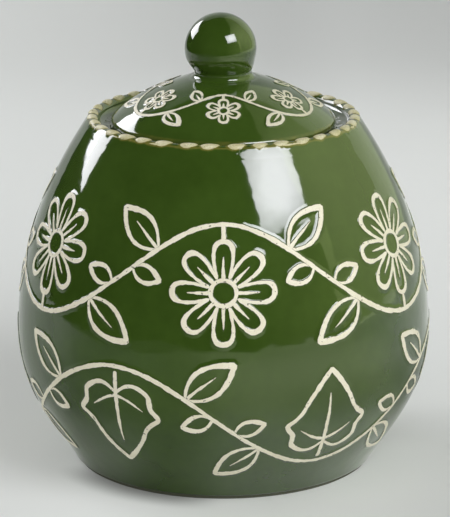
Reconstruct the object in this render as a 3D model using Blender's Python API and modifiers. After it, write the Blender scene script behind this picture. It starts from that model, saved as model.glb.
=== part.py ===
"""A lidded stoneware sugar bowl: a round-bellied pot with a rope edge, a loose domed lid and a ball knob.

Raised lines of slip run round it: a daisy vine above, an ivy vine below and a small daisy vine on the lid.
Everything is in metres, +Z up, with the origin on the table under the middle of the pot.
"""

import bisect
import math

import bmesh
import bpy
from mathutils import Vector

# The rope edge: one ring of clay laid on the rim and pressed into short slanting strands
STRANDS = 36
ROPE_RING_RADIUS = 0.0359
ROPE_RADIUS = 0.0021
ROPE_RISE = 0.0028
GROOVE_DEPTH = 0.0006
STRAND_SLANT = math.radians(40)

# The pot's outside: a rounded foot edge, a wide low belly and shoulders that lean in to the rim
BELLY_RADIUS = 0.0570
BELLY_HEIGHT = 0.0384
FOOT_EDGE_RADIUS = 0.0413
FOOT_EDGE_ROUND = 0.0010
FOOT_LEAN = math.radians(29)
ROPE_INSET = 0.0006
RIM_EDGE_RADIUS = ROPE_RING_RADIUS + ROPE_RADIUS + ROPE_INSET
RIM_HEIGHT = 0.0943
RIM_EDGE_ROUND = 0.0006
RIM_LEAN = math.radians(33)
FOOT_REACH_SHARE = 0.266
BELLY_DOWN_SHARE = 0.526
BELLY_UP_SHARE = 0.39
RIM_REACH_SHARE = 0.305

# The lid's place: its lip lies on a ledge inside the mouth, with a sloping gallery up to the rope
GALLERY_EDGE = 0.0001
GALLERY_WIDTH = 0.0020
LID_SIDE_PLAY = 0.0010
LID_RADIUS = ROPE_RING_RADIUS - ROPE_RADIUS - GALLERY_EDGE - GALLERY_WIDTH - LID_SIDE_PLAY
LEDGE_WIDTH = 0.0031
MOUTH_RADIUS = LID_RADIUS - LEDGE_WIDTH

# The pot's inside: one wall all round, a flat floor, and the ledge that carries the lid
WALL = 0.0045
FLOOR = 0.0050
FLOOR_ROUND = 0.0100
LEDGE_DROP = 0.0007
LEDGE_THICKNESS = 0.0030
LEDGE_SLOPE = math.radians(15)
LEDGE_EDGE_ROUND = 0.0006
LEDGE_UNDER_ROUND = 0.0030

# The bare ring of clay that the pot stands on
FOOT_HEIGHT = 0.0010
FOOT_WIDTH = 0.0040
FOOT_INSET = 0.0003
FOOT_RING_ROUND = 0.0003

# The lid: a dome with a rolled lip, a collar that drops into the mouth, and a flat crown under the knob
LIP_ROUND = 0.0013
CROWN_RADIUS = 0.0096
CROWN_RISE = 0.0132
CROWN_LEAN = math.radians(16)
DOME_THICKNESS = 0.0038
DOME_LEAN = math.radians(45)
CROWN_REACH_SHARE = 0.34
DOME_REACH_SHARE = 0.26
COLLAR_DEPTH = 0.0060
COLLAR_THICKNESS = 0.0036
COLLAR_ROUND = 0.0008

# The knob
BALL_RADIUS = 0.0098
NECK_RADIUS = 0.0079
NECK_LENGTH = 0.0021
NECK_FILLET = 0.0014

# The raised slip lines
LINE_WIDTH = 0.0013
LINE_HEIGHT = 0.0006
LINE_STEP = 0.0090

# The two vines round the pot, each a wave with a flower or a leaf in each of its arches
ARCHES = 6
UPPER_VINE_UP = 0.0670
LOWER_VINE_UP = 0.0275
VINE_RISE = 0.0150
VINE_LEAF_LENGTH = 0.0160
VINE_LEAF_WIDTH = 0.0080
VINE_LEAF_ANGLE = math.radians(38)
BUD_LENGTH = 0.0085
BUD_WIDTH = 0.0046
BUD_ANGLE = math.radians(20)
DAISY_RADIUS = 0.0135
DAISY_EYE_RADIUS = 0.0034
DAISY_DROP = 0.0030
DAISY_PETALS = 8
IVY_LENGTH = 0.0220
IVY_WIDTH = 0.0225
IVY_STALK = 0.0060

# The small vine round the lid
LID_ARCHES = 6
LID_VINE_UP = 0.0118
LID_VINE_RISE = 0.0062
LID_LEAF_LENGTH = 0.0062
LID_LEAF_WIDTH = 0.0034
LID_DAISY_RADIUS = 0.0046
LID_DAISY_EYE_RADIUS = 0.0014
LID_DAISY_DROP = 0.0006
LID_DAISY_PETALS = 6

# Places along a leaf and across it, in shares of its length and of its width, down one side from the foot
LEAF_SIDE_SHARES = [(0.32, 0.46), (0.68, 0.40)]
IVY_SIDE_SHARES = [(-0.10, 0.22), (0.02, 0.44), (0.30, 0.50), (0.66, 0.26)]
MIDRIB_SHARE = 0.70
LEAF_PLACE_SHARE = 0.17
BUD_PLACE_SHARE = 0.05
PETAL_SHOULDER_SHARE = 0.27

# How close neighbouring solids lie, and how finely round shapes are cut
CLEARANCE = 0.0003
MERGE = 0.00001
POT_SEGMENTS = 48
LID_SEGMENTS = 40
KNOB_SEGMENTS = 24
STRAND_SEGMENTS = 3
ROPE_SIDES = 6
WALL_STEPS = 7
DOME_STEPS = 6
ROUND_STEPS = 3
BALL_STEPS = 10
STEM_STEPS = 8

# Colours and roughness of the finishes
GLAZE = ("green_glaze", (0.033, 0.075, 0.012), 0.06)
SLIP = ("cream_slip", (0.72, 0.63, 0.48), 0.6)
BARE_CLAY = ("bare_clay", (0.66, 0.56, 0.42), 0.75)
NOT_METAL = 0.0

FRONT = math.radians(-90)
QUARTER = math.radians(90)
HALF_TURN = math.radians(180)


def toward(angle):
    """The direction at an angle, one unit long."""
    return Vector((math.cos(angle), math.sin(angle)))


def bezier(start, start_handle, end_handle, end, steps):
    """Points of a cubic curve in the radius and height plane, both ends included."""
    points = []
    for i in range(steps + 1):
        t = i / steps
        u = 1 - t
        point = start * u**3 + start_handle * (3 * u * u * t)
        points.append(point + end_handle * (3 * u * t * t) + end * t**3)
    return points


def arc(centre, radius, start, end, steps=ROUND_STEPS):
    """Points of a round stretch from one angle to another, both ends included."""
    return [centre + radius * toward(start + (end - start) * i / steps) for i in range(steps + 1)]


def rounded(before, corner, after, reach, steps=ROUND_STEPS):
    """A soft bend in place of a corner, which leaves each side at the reach given."""
    back = (before - corner).normalized() * reach
    ahead = (after - corner).normalized() * reach
    points = []
    for i in range(steps + 1):
        t = i / steps
        points.append(corner + back * (1 - t) ** 2 + ahead * t**2)
    return points


def moved_aside(path, distance):
    """A path moved to its left by the distance given."""
    moved = []
    for i, point in enumerate(path):
        ahead = path[min(i + 1, len(path) - 1)] - path[max(i - 1, 0)]
        moved.append(point + Vector((-ahead.y, ahead.x)).normalized() * distance)
    return moved


def crossing(path, start, slope):
    """Where an upward path meets a line that falls outwards from start at the slope given."""
    for low, high in zip(path, path[1:]):
        under = start.y - (low.x - start.x) * math.tan(slope) - low.y
        over = start.y - (high.x - start.x) * math.tan(slope) - high.y
        if under >= 0 > over:
            return low.lerp(high, under / (under - over))
    return path[-1]


def ledge_height():
    return RIM_HEIGHT - LEDGE_DROP


def ledge_radius():
    """The ledge's outer edge, clear of the lid's lip."""
    return LID_RADIUS + LID_SIDE_PLAY


def seat_height():
    """The lid's flat underside, just clear of the ledge."""
    return ledge_height() + CLEARANCE


def crown_height():
    return seat_height() + CROWN_RISE


def collar_radius():
    return MOUTH_RADIUS - LID_SIDE_PLAY


def foot_edge_centre():
    return Vector((FOOT_EDGE_RADIUS, FOOT_HEIGHT + FOOT_EDGE_ROUND))


def rim_edge_centre():
    return Vector((RIM_EDGE_RADIUS - RIM_EDGE_ROUND, RIM_HEIGHT - RIM_EDGE_ROUND))


def lip_centre():
    return Vector((LID_RADIUS - LIP_ROUND, seat_height() + LIP_ROUND))


def outer_wall():
    """The pot's outside from its foot edge up to its rim edge: two curves that meet at the belly."""
    foot = foot_edge_centre() + FOOT_EDGE_ROUND * toward(-FOOT_LEAN)
    belly = Vector((BELLY_RADIUS, BELLY_HEIGHT))
    rim = rim_edge_centre() + RIM_EDGE_ROUND * toward(RIM_LEAN)
    below = belly.y - foot.y
    above = rim.y - belly.y
    up = toward(QUARTER)
    foot_handle = foot + toward(QUARTER - FOOT_LEAN) * below * FOOT_REACH_SHARE
    rim_handle = rim - toward(QUARTER + RIM_LEAN) * above * RIM_REACH_SHARE
    lower = bezier(foot, foot_handle, belly - up * below * BELLY_DOWN_SHARE, belly, WALL_STEPS)
    upper = bezier(belly, belly + up * above * BELLY_UP_SHARE, rim_handle, rim, WALL_STEPS)
    return lower + upper[1:]


def pot_outline():
    """The pot's section: from the floor's middle up the inside, over the ledge and rim, and down."""
    floor_height = FOOT_HEIGHT + FLOOR
    inside = moved_aside(outer_wall(), WALL)
    bore_bottom = Vector((MOUTH_RADIUS, ledge_height() - LEDGE_THICKNESS))
    bore_top = Vector((MOUTH_RADIUS, ledge_height()))
    ledge_end = Vector((ledge_radius(), ledge_height()))
    gallery_end = Vector((ledge_radius() + GALLERY_WIDTH, RIM_HEIGHT))
    under_ledge = crossing(inside, bore_bottom, LEDGE_SLOPE)
    highest = under_ledge.y - LEDGE_UNDER_ROUND
    wall = [p for p in inside if floor_height + FLOOR_ROUND < p.y < highest]
    floor_corner = Vector((wall[0].x, floor_height)) - Vector((FLOOR_ROUND / 2, 0))
    outline = [Vector((0, floor_height))]
    outline += rounded(outline[0], floor_corner, wall[0], FLOOR_ROUND)[:-1]
    outline += wall
    outline += rounded(wall[-1], under_ledge, bore_bottom, LEDGE_UNDER_ROUND)
    outline += rounded(under_ledge, bore_bottom, bore_top, LEDGE_EDGE_ROUND, 1)
    outline += rounded(bore_bottom, bore_top, ledge_end, LEDGE_EDGE_ROUND, 1)
    outline += [ledge_end, gallery_end]
    outline += arc(rim_edge_centre(), RIM_EDGE_ROUND, QUARTER, RIM_LEAN, 2)
    outline += reversed(outer_wall()[:-1])
    outline += arc(foot_edge_centre(), FOOT_EDGE_ROUND, -FOOT_LEAN, -QUARTER, 2)[1:]
    outline += [Vector((0, FOOT_HEIGHT))]
    return outline


def ring_outline(outer, thickness, top, bottom, reach, steps):
    """A ring's section with soft lower edges, a closed loop whose outer side runs down."""
    inner = outer - thickness
    inner_top = Vector((inner, top))
    outer_top = Vector((outer, top))
    outer_bottom = Vector((outer, bottom))
    inner_bottom = Vector((inner, bottom))
    loop = [inner_top, outer_top]
    loop += rounded(outer_top, outer_bottom, inner_bottom, reach, steps)
    loop += rounded(outer_bottom, inner_bottom, inner_top, reach, steps)
    return loop


def dome_curve():
    """The lid's upper side from the edge of its crown down to its lip."""
    crown = Vector((CROWN_RADIUS, crown_height()))
    edge = lip_centre() + LIP_ROUND * toward(DOME_LEAN)
    span = (edge - crown).length
    crown_handle = crown + toward(-CROWN_LEAN) * span * CROWN_REACH_SHARE
    edge_handle = edge + toward(DOME_LEAN + QUARTER) * span * DOME_REACH_SHARE
    return bezier(crown, crown_handle, edge_handle, edge, DOME_STEPS)


def dome_outline():
    """The dome's section: the crown's middle, down to the rolled lip and back along the hollow underside."""
    top = dome_curve()
    hollow_radius = collar_radius() - COLLAR_THICKNESS
    under = [p for p in moved_aside(top, -DOME_THICKNESS) if p.x < hollow_radius - LIP_ROUND]
    fall = (under[-1].y - under[-2].y) / (under[-1].x - under[-2].x)
    seat_inner = Vector((hollow_radius, seat_height()))
    hollow_edge = Vector((hollow_radius, under[-1].y + fall * (hollow_radius - under[-1].x)))
    outline = [Vector((0, crown_height()))]
    outline += top[:-1]
    outline += arc(lip_centre(), LIP_ROUND, DOME_LEAN, -QUARTER)
    outline += [seat_inner]
    outline += rounded(seat_inner, hollow_edge, under[-1], LIP_ROUND / 2)
    outline += reversed(under)
    outline += [Vector((0, under[0].y))]
    return outline


def knob_outline():
    """The knob's section: ball, short neck and a hollow fillet that lands on the crown."""
    bottom = crown_height()
    ball_end = -math.acos(NECK_RADIUS / BALL_RADIUS)
    ball_centre = Vector((0, bottom + NECK_LENGTH - BALL_RADIUS * math.sin(ball_end)))
    fillet_centre = Vector((NECK_RADIUS + NECK_FILLET, bottom + NECK_FILLET))
    outline = arc(ball_centre, BALL_RADIUS, QUARTER, ball_end, BALL_STEPS)
    outline[0] = Vector((0, outline[0].y))
    outline += arc(fillet_centre, NECK_FILLET, HALF_TURN, HALF_TURN + QUARTER)
    outline += [Vector((0, bottom))]
    return outline


class TurnedSurface:
    """The outside of a turned piece, measured by the angle round it and the distance along its section."""

    def __init__(self, section):
        self.section = section
        self.along = [0]
        for a, b in zip(section, section[1:]):
            self.along.append(self.along[-1] + (b - a).length)

    def at(self, distance):
        """The section's point and its outward side at a distance along it."""
        i = min(max(bisect.bisect_right(self.along, distance) - 1, 0), len(self.section) - 2)
        a, b = self.section[i], self.section[i + 1]
        ahead = (b - a).normalized()
        return a + ahead * (distance - self.along[i]), Vector((ahead.y, -ahead.x))

    def pitch(self, distance, count):
        """How far apart the places lie when the surface is shared into so many round."""
        return math.tau * self.at(distance)[0].x / count

    def wrap(self, flat, azimuth, distance, even):
        """A point drawn flat, laid on the surface. An even motif keeps its angles from row to row."""
        place, side = self.at(distance + flat.y)
        radius = self.at(distance)[0].x if even else place.x
        place = place + side * flat.z
        turn = azimuth + flat.x / radius
        return Vector((place.x * math.cos(turn), place.x * math.sin(turn), place.y))


def finish(name, colour, roughness):
    """A plain material."""
    material = bpy.data.materials.get(name) or bpy.data.materials.new(name)
    material.use_nodes = True
    shader = material.node_tree.nodes["Principled BSDF"]
    shader.inputs["Base Color"].default_value = (*colour, 1)
    shader.inputs["Roughness"].default_value = roughness
    shader.inputs["Metallic"].default_value = NOT_METAL
    material.diffuse_color = (*colour, 1)
    return material


def add_piece(name, mesh, surface_finish):
    """A named piece of the sugar bowl with its finish."""
    mesh.materials.clear()
    mesh.materials.append(finish(*surface_finish))
    piece = bpy.data.objects.new(name, mesh)
    parts.objects.link(piece)
    return piece


def add_turned(name, outline, segments, surface_finish, closed=False):
    """A turned piece: its section is an edge mesh that a Screw modifier sweeps once round the Z axis."""
    edges = [(i, i + 1) for i in range(len(outline) - 1)]
    if closed:
        edges.append((len(outline) - 1, 0))
    mesh = bpy.data.meshes.new(name)
    mesh.from_pydata([(p.x, 0, p.y) for p in outline], edges, [])
    piece = add_piece(name, mesh, surface_finish)
    screw = piece.modifiers.new("turn", "SCREW")
    screw.axis = "Z"
    screw.angle = math.tau
    screw.steps = segments
    screw.render_steps = segments
    screw.use_merge_vertices = True
    screw.merge_threshold = MERGE
    screw.use_smooth_shade = True
    return piece


def add_rope_edge():
    """A torus cut flat on the rim, with its rings turned so that strands lean, and a groove after each."""
    bpy.ops.mesh.primitive_torus_add(
        major_segments=STRANDS * STRAND_SEGMENTS,
        minor_segments=ROPE_SIDES,
        major_radius=ROPE_RING_RADIUS,
        minor_radius=ROPE_RADIUS,
    )
    torus = bpy.context.active_object
    mesh = torus.data
    mesh.name = "rim_rope"
    bpy.data.objects.remove(torus)
    centre_height = RIM_HEIGHT + ROPE_RISE - ROPE_RADIUS
    for vertex in mesh.vertices:
        azimuth = math.atan2(vertex.co.y, vertex.co.x)
        across = math.hypot(vertex.co.x, vertex.co.y) - ROPE_RING_RADIUS
        lift = vertex.co.z
        slot = round(azimuth / math.tau * STRANDS * STRAND_SEGMENTS)
        if slot % STRAND_SEGMENTS == 0:
            across *= 1 - GROOVE_DEPTH / ROPE_RADIUS
            lift *= 1 - GROOVE_DEPTH / ROPE_RADIUS
        azimuth -= across * math.tan(STRAND_SLANT) / ROPE_RING_RADIUS
        radius = ROPE_RING_RADIUS + across
        height = max(centre_height + lift, RIM_HEIGHT)
        vertex.co = (radius * math.cos(azimuth), radius * math.sin(azimuth), height)
    mesh.shade_smooth()
    return add_piece("rim_rope", mesh, SLIP)


def mesh_of(thing):
    """A copy of an object's evaluated mesh. The object is removed."""
    graph = bpy.context.evaluated_depsgraph_get()
    mesh = bpy.data.meshes.new_from_object(thing.evaluated_get(graph))
    bpy.data.objects.remove(thing)
    return mesh


def turn_outwards(solid):
    """Turns the faces of an inside-out solid round."""
    if solid.calc_volume(signed=True) < 0:
        bmesh.ops.reverse_faces(solid, faces=solid.faces)


def line_section():
    """The section of a slip line, a low ridge with a flat underside, as a closed curve."""
    curve = bpy.data.curves.new("line_section", "CURVE")
    curve.dimensions = "2D"
    spline = curve.splines.new("POLY")
    corners = [(-LINE_WIDTH / 2, 0), (LINE_WIDTH / 2, 0), (0, LINE_HEIGHT)]
    spline.points.add(len(corners) - 1)
    for point, (x, y) in zip(spline.points, corners):
        point.co = (x, y, 0, 1)
    spline.use_cyclic_u = True
    section = bpy.data.objects.new("line_section", curve)
    helpers.objects.link(section)
    section.hide_render = True
    section.display_type = "WIRE"
    return section


def with_short_steps(points, closed):
    """The line's points with more between any two that lie too far apart to follow the wall."""
    ends = points[1:] + (points[:1] if closed else [])
    filled = []
    for a, b in zip(points, ends):
        steps = math.ceil((b - a).length / LINE_STEP)
        filled += [a.lerp(b, i / steps) for i in range(steps)]
    return filled if closed else filled + points[-1:]


def line_mesh(points, closed, section):
    """One slip line drawn flat, as a closed mesh."""
    points = with_short_steps(points, closed)
    curve = bpy.data.curves.new("line", "CURVE")
    curve.dimensions = "2D"
    curve.bevel_mode = "OBJECT"
    curve.bevel_object = section
    curve.use_fill_caps = True
    spline = curve.splines.new("POLY")
    spline.points.add(len(points) - 1)
    for target, point in zip(spline.points, points):
        target.co = (point.x, point.y, 0, 1)
    spline.use_cyclic_u = closed
    line = bpy.data.objects.new("line", curve)
    helpers.objects.link(line)
    mesh = mesh_of(line)
    flat = bmesh.new()
    flat.from_mesh(mesh)
    bmesh.ops.remove_doubles(flat, verts=flat.verts, dist=MERGE)
    bmesh.ops.recalc_face_normals(flat, faces=flat.faces)
    turn_outwards(flat)
    flat.to_mesh(mesh)
    flat.free()
    return mesh


def motif_mesh(lines, section):
    """Slip lines that touch one another, joined into one flat solid by a Boolean union."""
    strokes = bpy.data.collections.new("strokes")
    helpers.children.link(strokes)
    drawn = [bpy.data.objects.new("line", line_mesh(*line, section)) for line in lines]
    helpers.objects.link(drawn[0])
    for stroke in drawn[1:]:
        strokes.objects.link(stroke)
    join = drawn[0].modifiers.new("join", "BOOLEAN")
    join.operation = "UNION"
    join.operand_type = "COLLECTION"
    join.collection = strokes
    join.solver = "EXACT"
    mesh = mesh_of(drawn[0])
    for stroke in drawn[1:]:
        bpy.data.objects.remove(stroke)
    bpy.data.collections.remove(strokes)
    return mesh


def add_wrapped(name, motif, flip, surface, azimuth, distance, even=False):
    """A copy of a flat motif laid on a turned surface. A flip turns it top to bottom."""
    solid = bmesh.new()
    solid.from_mesh(motif)
    bmesh.ops.triangulate(solid, faces=solid.faces)
    for vertex in solid.verts:
        flat = Vector((vertex.co.x, vertex.co.y * flip, vertex.co.z + CLEARANCE))
        vertex.co = surface.wrap(flat, azimuth, distance, even)
    turn_outwards(solid)
    mesh = bpy.data.meshes.new(name)
    solid.to_mesh(mesh)
    solid.free()
    return add_piece(name, mesh, SLIP)


def daisy_lines(radius, eye_radius, petals, drop, rise):
    """A daisy that hangs in an arch of the vine: its petals' edge, its eye and its stalk."""
    centre = Vector((0, -drop))
    step = math.tau / petals
    edge = []
    eye = []
    for i in range(petals):
        tip = QUARTER + i * step
        edge.append(centre + toward(tip - step * PETAL_SHOULDER_SHARE) * radius)
        edge.append(centre + toward(tip + step * PETAL_SHOULDER_SHARE) * radius)
        edge.append(centre + toward(tip + step / 2) * (eye_radius + LINE_WIDTH / 2))
        eye.append(centre + toward(tip + step / 2) * eye_radius)
    stalk = [centre + toward(QUARTER) * (radius - LINE_WIDTH / 2), Vector((0, rise - LINE_WIDTH))]
    return [(edge, True), (eye, True), (stalk, False)]


def leaf_lines(foot, angle, length, width, side_shares):
    """A leaf that grows from its foot at an angle: its edge and its midrib."""
    ahead = toward(angle) * length
    aside = toward(angle + QUARTER) * width
    left = [foot + ahead * a + aside * b for a, b in side_shares]
    right = [foot + ahead * a - aside * b for a, b in side_shares]
    edge = [foot, *left, foot + ahead, *reversed(right)]
    return [(edge, True), ([foot, foot + ahead * MIDRIB_SHARE], False)]


def ivy_lines():
    """An ivy leaf that hangs in an arch of the vine, with its stalk run on into its midrib."""
    foot = Vector((0, VINE_RISE - LINE_WIDTH - IVY_STALK))
    edge, _ = leaf_lines(foot, -QUARTER, IVY_LENGTH, IVY_WIDTH, IVY_SIDE_SHARES)
    tip = foot - Vector((0, IVY_LENGTH * MIDRIB_SHARE))
    return [edge, ([foot + Vector((0, IVY_STALK)), foot, tip], False)]


def stem_point(x, pitch, rise):
    """A place on the vine's wave, measured from the middle of a falling stretch."""
    return Vector((x, -rise * math.sin(math.pi * x / pitch)))


def vine_lines(pitch, rise, leaf_length, leaf_width):
    """The vine from the top of one arch down to the bottom of the next, with a leaf on each side."""
    reach = pitch / 2 - CLEARANCE
    shares = [2 * i / STEM_STEPS - 1 for i in range(STEM_STEPS + 1)]
    lines = [([stem_point(reach * share, pitch, rise) for share in shares], False)]
    foot = stem_point(-pitch * LEAF_PLACE_SHARE, pitch, rise)
    lines += leaf_lines(foot, VINE_LEAF_ANGLE, leaf_length, leaf_width, LEAF_SIDE_SHARES)
    lines += leaf_lines(-foot, VINE_LEAF_ANGLE + HALF_TURN, leaf_length, leaf_width, LEAF_SIDE_SHARES)
    return lines


def bud_lines(pitch):
    """Two small leaves without midribs, one on each side of the middle of a stretch of the pot's vine."""
    foot = stem_point(pitch * BUD_PLACE_SHARE, pitch, VINE_RISE)
    first = leaf_lines(foot, BUD_ANGLE, BUD_LENGTH, BUD_WIDTH, LEAF_SIDE_SHARES)[0]
    second = leaf_lines(-foot, BUD_ANGLE + HALF_TURN, BUD_LENGTH, BUD_WIDTH, LEAF_SIDE_SHARES)[0]
    return [first, second]


def pot_vine_lines(pitch):
    return vine_lines(pitch, VINE_RISE, VINE_LEAF_LENGTH, VINE_LEAF_WIDTH) + bud_lines(pitch)


def add_vine(names, vine, flower, surface, count, distance, start):
    """A vine round a turned surface: stems that fall and rise in turn, and a flower or leaf in each arch."""
    stem_name, flower_name = names
    step = math.tau / count
    for i in range(count):
        flip = 1 if i % 2 == 0 else -1
        azimuth = start + i * step
        stem_azimuth = azimuth + step / 2
        add_wrapped(f"{stem_name}_{i + 1}", vine, flip, surface, stem_azimuth, distance, even=True)
        add_wrapped(f"{flower_name}_{i + 1}", flower, flip, surface, azimuth, distance)


def add_pot_ornament(section):
    """The daisy vine on the shoulders and the ivy vine under the belly, half an arch apart."""
    pot = TurnedSurface(outer_wall())
    upper = motif_mesh(pot_vine_lines(pot.pitch(UPPER_VINE_UP, ARCHES)), section)
    daisy = motif_mesh(
        daisy_lines(DAISY_RADIUS, DAISY_EYE_RADIUS, DAISY_PETALS, DAISY_DROP, VINE_RISE), section
    )
    add_vine(("upper_vine", "daisy"), upper, daisy, pot, ARCHES, UPPER_VINE_UP, FRONT)
    lower = motif_mesh(pot_vine_lines(pot.pitch(LOWER_VINE_UP, ARCHES)), section)
    ivy = motif_mesh(ivy_lines(), section)
    half_arch = math.pi / ARCHES
    add_vine(("lower_vine", "ivy_leaf"), lower, ivy, pot, ARCHES, LOWER_VINE_UP, FRONT - half_arch)


def add_lid_ornament(section):
    """The small daisy vine round the lid."""
    dome = TurnedSurface(list(reversed(dome_curve())))
    pitch = dome.pitch(LID_VINE_UP, LID_ARCHES)
    vine = motif_mesh(vine_lines(pitch, LID_VINE_RISE, LID_LEAF_LENGTH, LID_LEAF_WIDTH), section)
    daisy = motif_mesh(
        daisy_lines(
            LID_DAISY_RADIUS, LID_DAISY_EYE_RADIUS, LID_DAISY_PETALS, LID_DAISY_DROP, LID_VINE_RISE
        ),
        section,
    )
    add_vine(("lid_vine", "lid_daisy"), vine, daisy, dome, LID_ARCHES, LID_VINE_UP, FRONT)


def build():
    """The pot with its foot and rope edge, the lid with its collar and knob, and the raised lines."""
    add_turned("pot_body", pot_outline(), POT_SEGMENTS, GLAZE)
    foot_radius = FOOT_EDGE_RADIUS - FOOT_INSET
    foot = ring_outline(foot_radius, FOOT_WIDTH, FOOT_HEIGHT, 0, FOOT_RING_ROUND, 1)
    add_turned("foot_ring", foot, POT_SEGMENTS, BARE_CLAY, closed=True)
    add_rope_edge()
    add_turned("lid_dome", dome_outline(), LID_SEGMENTS, GLAZE)
    collar_bottom = seat_height() - COLLAR_DEPTH
    collar = ring_outline(
        collar_radius(), COLLAR_THICKNESS, seat_height(), collar_bottom, COLLAR_ROUND, 1
    )
    add_turned("lid_collar", collar, LID_SEGMENTS, BARE_CLAY, closed=True)
    add_turned("lid_knob", knob_outline(), KNOB_SEGMENTS, GLAZE)
    section = line_section()
    add_pot_ornament(section)
    add_lid_ornament(section)


for old in list(bpy.data.objects):
    bpy.data.objects.remove(old)
parts = bpy.data.collections.new("sugar_bowl")
helpers = bpy.data.collections.new("helpers")
bpy.context.scene.collection.children.link(parts)
bpy.context.scene.collection.children.link(helpers)
build()
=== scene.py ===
# %% [markdown]
# # A green stoneware sugar bowl with a lid
# This lesson dresses a plain solid model of a sugar bowl as fired pottery: a turned pot and lid under a
# glossy green glaze, raised lines of cream slip, a rope edge and bare clay where the kiln shelf and the
# lid touch. The solid model is the frame. Each finished piece stands exactly where the solid that it
# replaces stands.

# %% Load the solid model
import math

import bmesh
import bpy
from mathutils import Matrix, Vector


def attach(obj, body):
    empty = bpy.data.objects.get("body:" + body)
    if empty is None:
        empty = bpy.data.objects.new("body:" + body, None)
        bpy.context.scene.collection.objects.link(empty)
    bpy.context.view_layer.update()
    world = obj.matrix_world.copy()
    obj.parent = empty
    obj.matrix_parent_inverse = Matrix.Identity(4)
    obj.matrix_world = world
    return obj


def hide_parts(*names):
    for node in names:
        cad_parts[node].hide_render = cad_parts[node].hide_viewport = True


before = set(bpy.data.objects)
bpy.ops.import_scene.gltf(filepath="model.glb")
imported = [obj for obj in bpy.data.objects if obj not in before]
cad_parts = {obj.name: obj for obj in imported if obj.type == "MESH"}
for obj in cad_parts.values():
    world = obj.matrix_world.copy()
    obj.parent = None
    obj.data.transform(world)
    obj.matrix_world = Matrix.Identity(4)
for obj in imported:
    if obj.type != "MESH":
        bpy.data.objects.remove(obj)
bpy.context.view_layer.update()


def rounded(values, digits=3):
    return [round(value, digits) for value in values]


def at(out, up):
    return Vector((out, up))


def put_in_scene(name, data):
    thing = bpy.data.objects.new(name, data)
    bpy.context.scene.collection.objects.link(thing)
    return thing


# %% [markdown]
# ## The camera
# The bowl was seen from a little above, from far away, through a long lens. A long lens keeps the pot's
# round mouth a flat ellipse and the foot nearly straight. The camera is placed by its distance and its
# rise, which is easier to correct than three separate coordinates.

# %% Place the camera
AIM = Vector((0.0004, 0, 0.05555))
CAMERA_DISTANCE, CAMERA_RISE, CAMERA_LENS = 0.855, math.radians(16.06), 214.95

camera = put_in_scene("camera", bpy.data.cameras.new("camera"))
bpy.context.scene.camera = camera
camera.data.lens = CAMERA_LENS
back = Vector((0, -math.cos(CAMERA_RISE), math.sin(CAMERA_RISE)))
camera.location = AIM + back * CAMERA_DISTANCE
camera.rotation_euler = back.to_track_quat("Z", "Y").to_euler()
print("camera at", rounded(camera.location))

# %% [markdown]
# ## Sizes and the pot's section
# A thrown pot is its section, turned round. The sizes are those of the solid model, so the two agree to a
# hair. The outside wall is two smooth curves that meet at the belly, and the finished pot samples them
# far more finely than the solid does. A Bezier formula is used in place of a curve object, because the
# same line is needed again further on, to lay the slip on it. A pull is how far a curve's handle reaches,
# as a share.

# %% Sizes of the pot, the lid and the knob
BELLY_RADIUS, BELLY_HEIGHT = 0.0570, 0.0384
FOOT_EDGE_RADIUS, FOOT_EDGE_ROUND, FOOT_LEAN = 0.0413, 0.0010, math.radians(29)
RIM_EDGE_RADIUS, RIM_EDGE_ROUND, RIM_LEAN = 0.0386, 0.0006, math.radians(33)
RIM_HEIGHT = 0.0943
FOOT_PULL, BELLY_PULL_DOWN, BELLY_PULL_UP, RIM_PULL = 0.266, 0.526, 0.39, 0.305
WALL, FLOOR, FLOOR_ROUND, FLOOR_RINGS = 0.0045, 0.0050, 0.0100, (0.012, 0.026)
MOUTH_RADIUS = 0.0276
LEDGE_DROP, LEDGE_THICKNESS, LEDGE_SLOPE = 0.0007, 0.0030, math.radians(15)
LEDGE_EDGE_ROUND, LEDGE_UNDER_ROUND = 0.0006, 0.0030
GALLERY_WIDTH, LID_SIDE_PLAY, SEAT_GAP = 0.0020, 0.0010, 0.0003
FOOT_HEIGHT, FOOT_WIDTH, FOOT_INSET, FOOT_SOFT = 0.0010, 0.0040, 0.0003, 0.0003
UNDERSIDE_RINGS = (0.030, 0.015)
ROPE_STRANDS, ROPE_RING_RADIUS, ROPE_RADIUS, ROPE_RISE = 36, 0.0359, 0.0021, 0.0028
LID_RADIUS, LIP_ROUND = 0.0307, 0.0013
CROWN_RADIUS, CROWN_RISE, CROWN_LEAN, CROWN_RING = 0.0096, 0.0132, math.radians(16), 0.004
DOME_THICKNESS, DOME_LEAN, CROWN_PULL, LIP_PULL = 0.0038, math.radians(45), 0.34, 0.26
COLLAR_DEPTH, COLLAR_THICKNESS, COLLAR_SOFT = 0.0060, 0.0036, 0.0008
BALL_RADIUS, NECK_RADIUS, NECK_LENGTH, NECK_FILLET = 0.0098, 0.0079, 0.0021, 0.0014
QUARTER = math.radians(90)

SEAT_HEIGHT = RIM_HEIGHT - LEDGE_DROP + SEAT_GAP
CROWN_HEIGHT = SEAT_HEIGHT + CROWN_RISE
FOOT_CORNER = at(FOOT_EDGE_RADIUS, FOOT_HEIGHT + FOOT_EDGE_ROUND)
RIM_CORNER = at(RIM_EDGE_RADIUS - RIM_EDGE_ROUND, RIM_HEIGHT - RIM_EDGE_ROUND)
LIP_CENTRE = at(LID_RADIUS - LIP_ROUND, SEAT_HEIGHT + LIP_ROUND)
print("lid at", round(SEAT_HEIGHT * 1000, 1), "mm, crown at", round(CROWN_HEIGHT * 1000, 1), "mm")

# %% Curves, arcs and soft corners
def toward(angle):
    return at(math.cos(angle), math.sin(angle))


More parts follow.
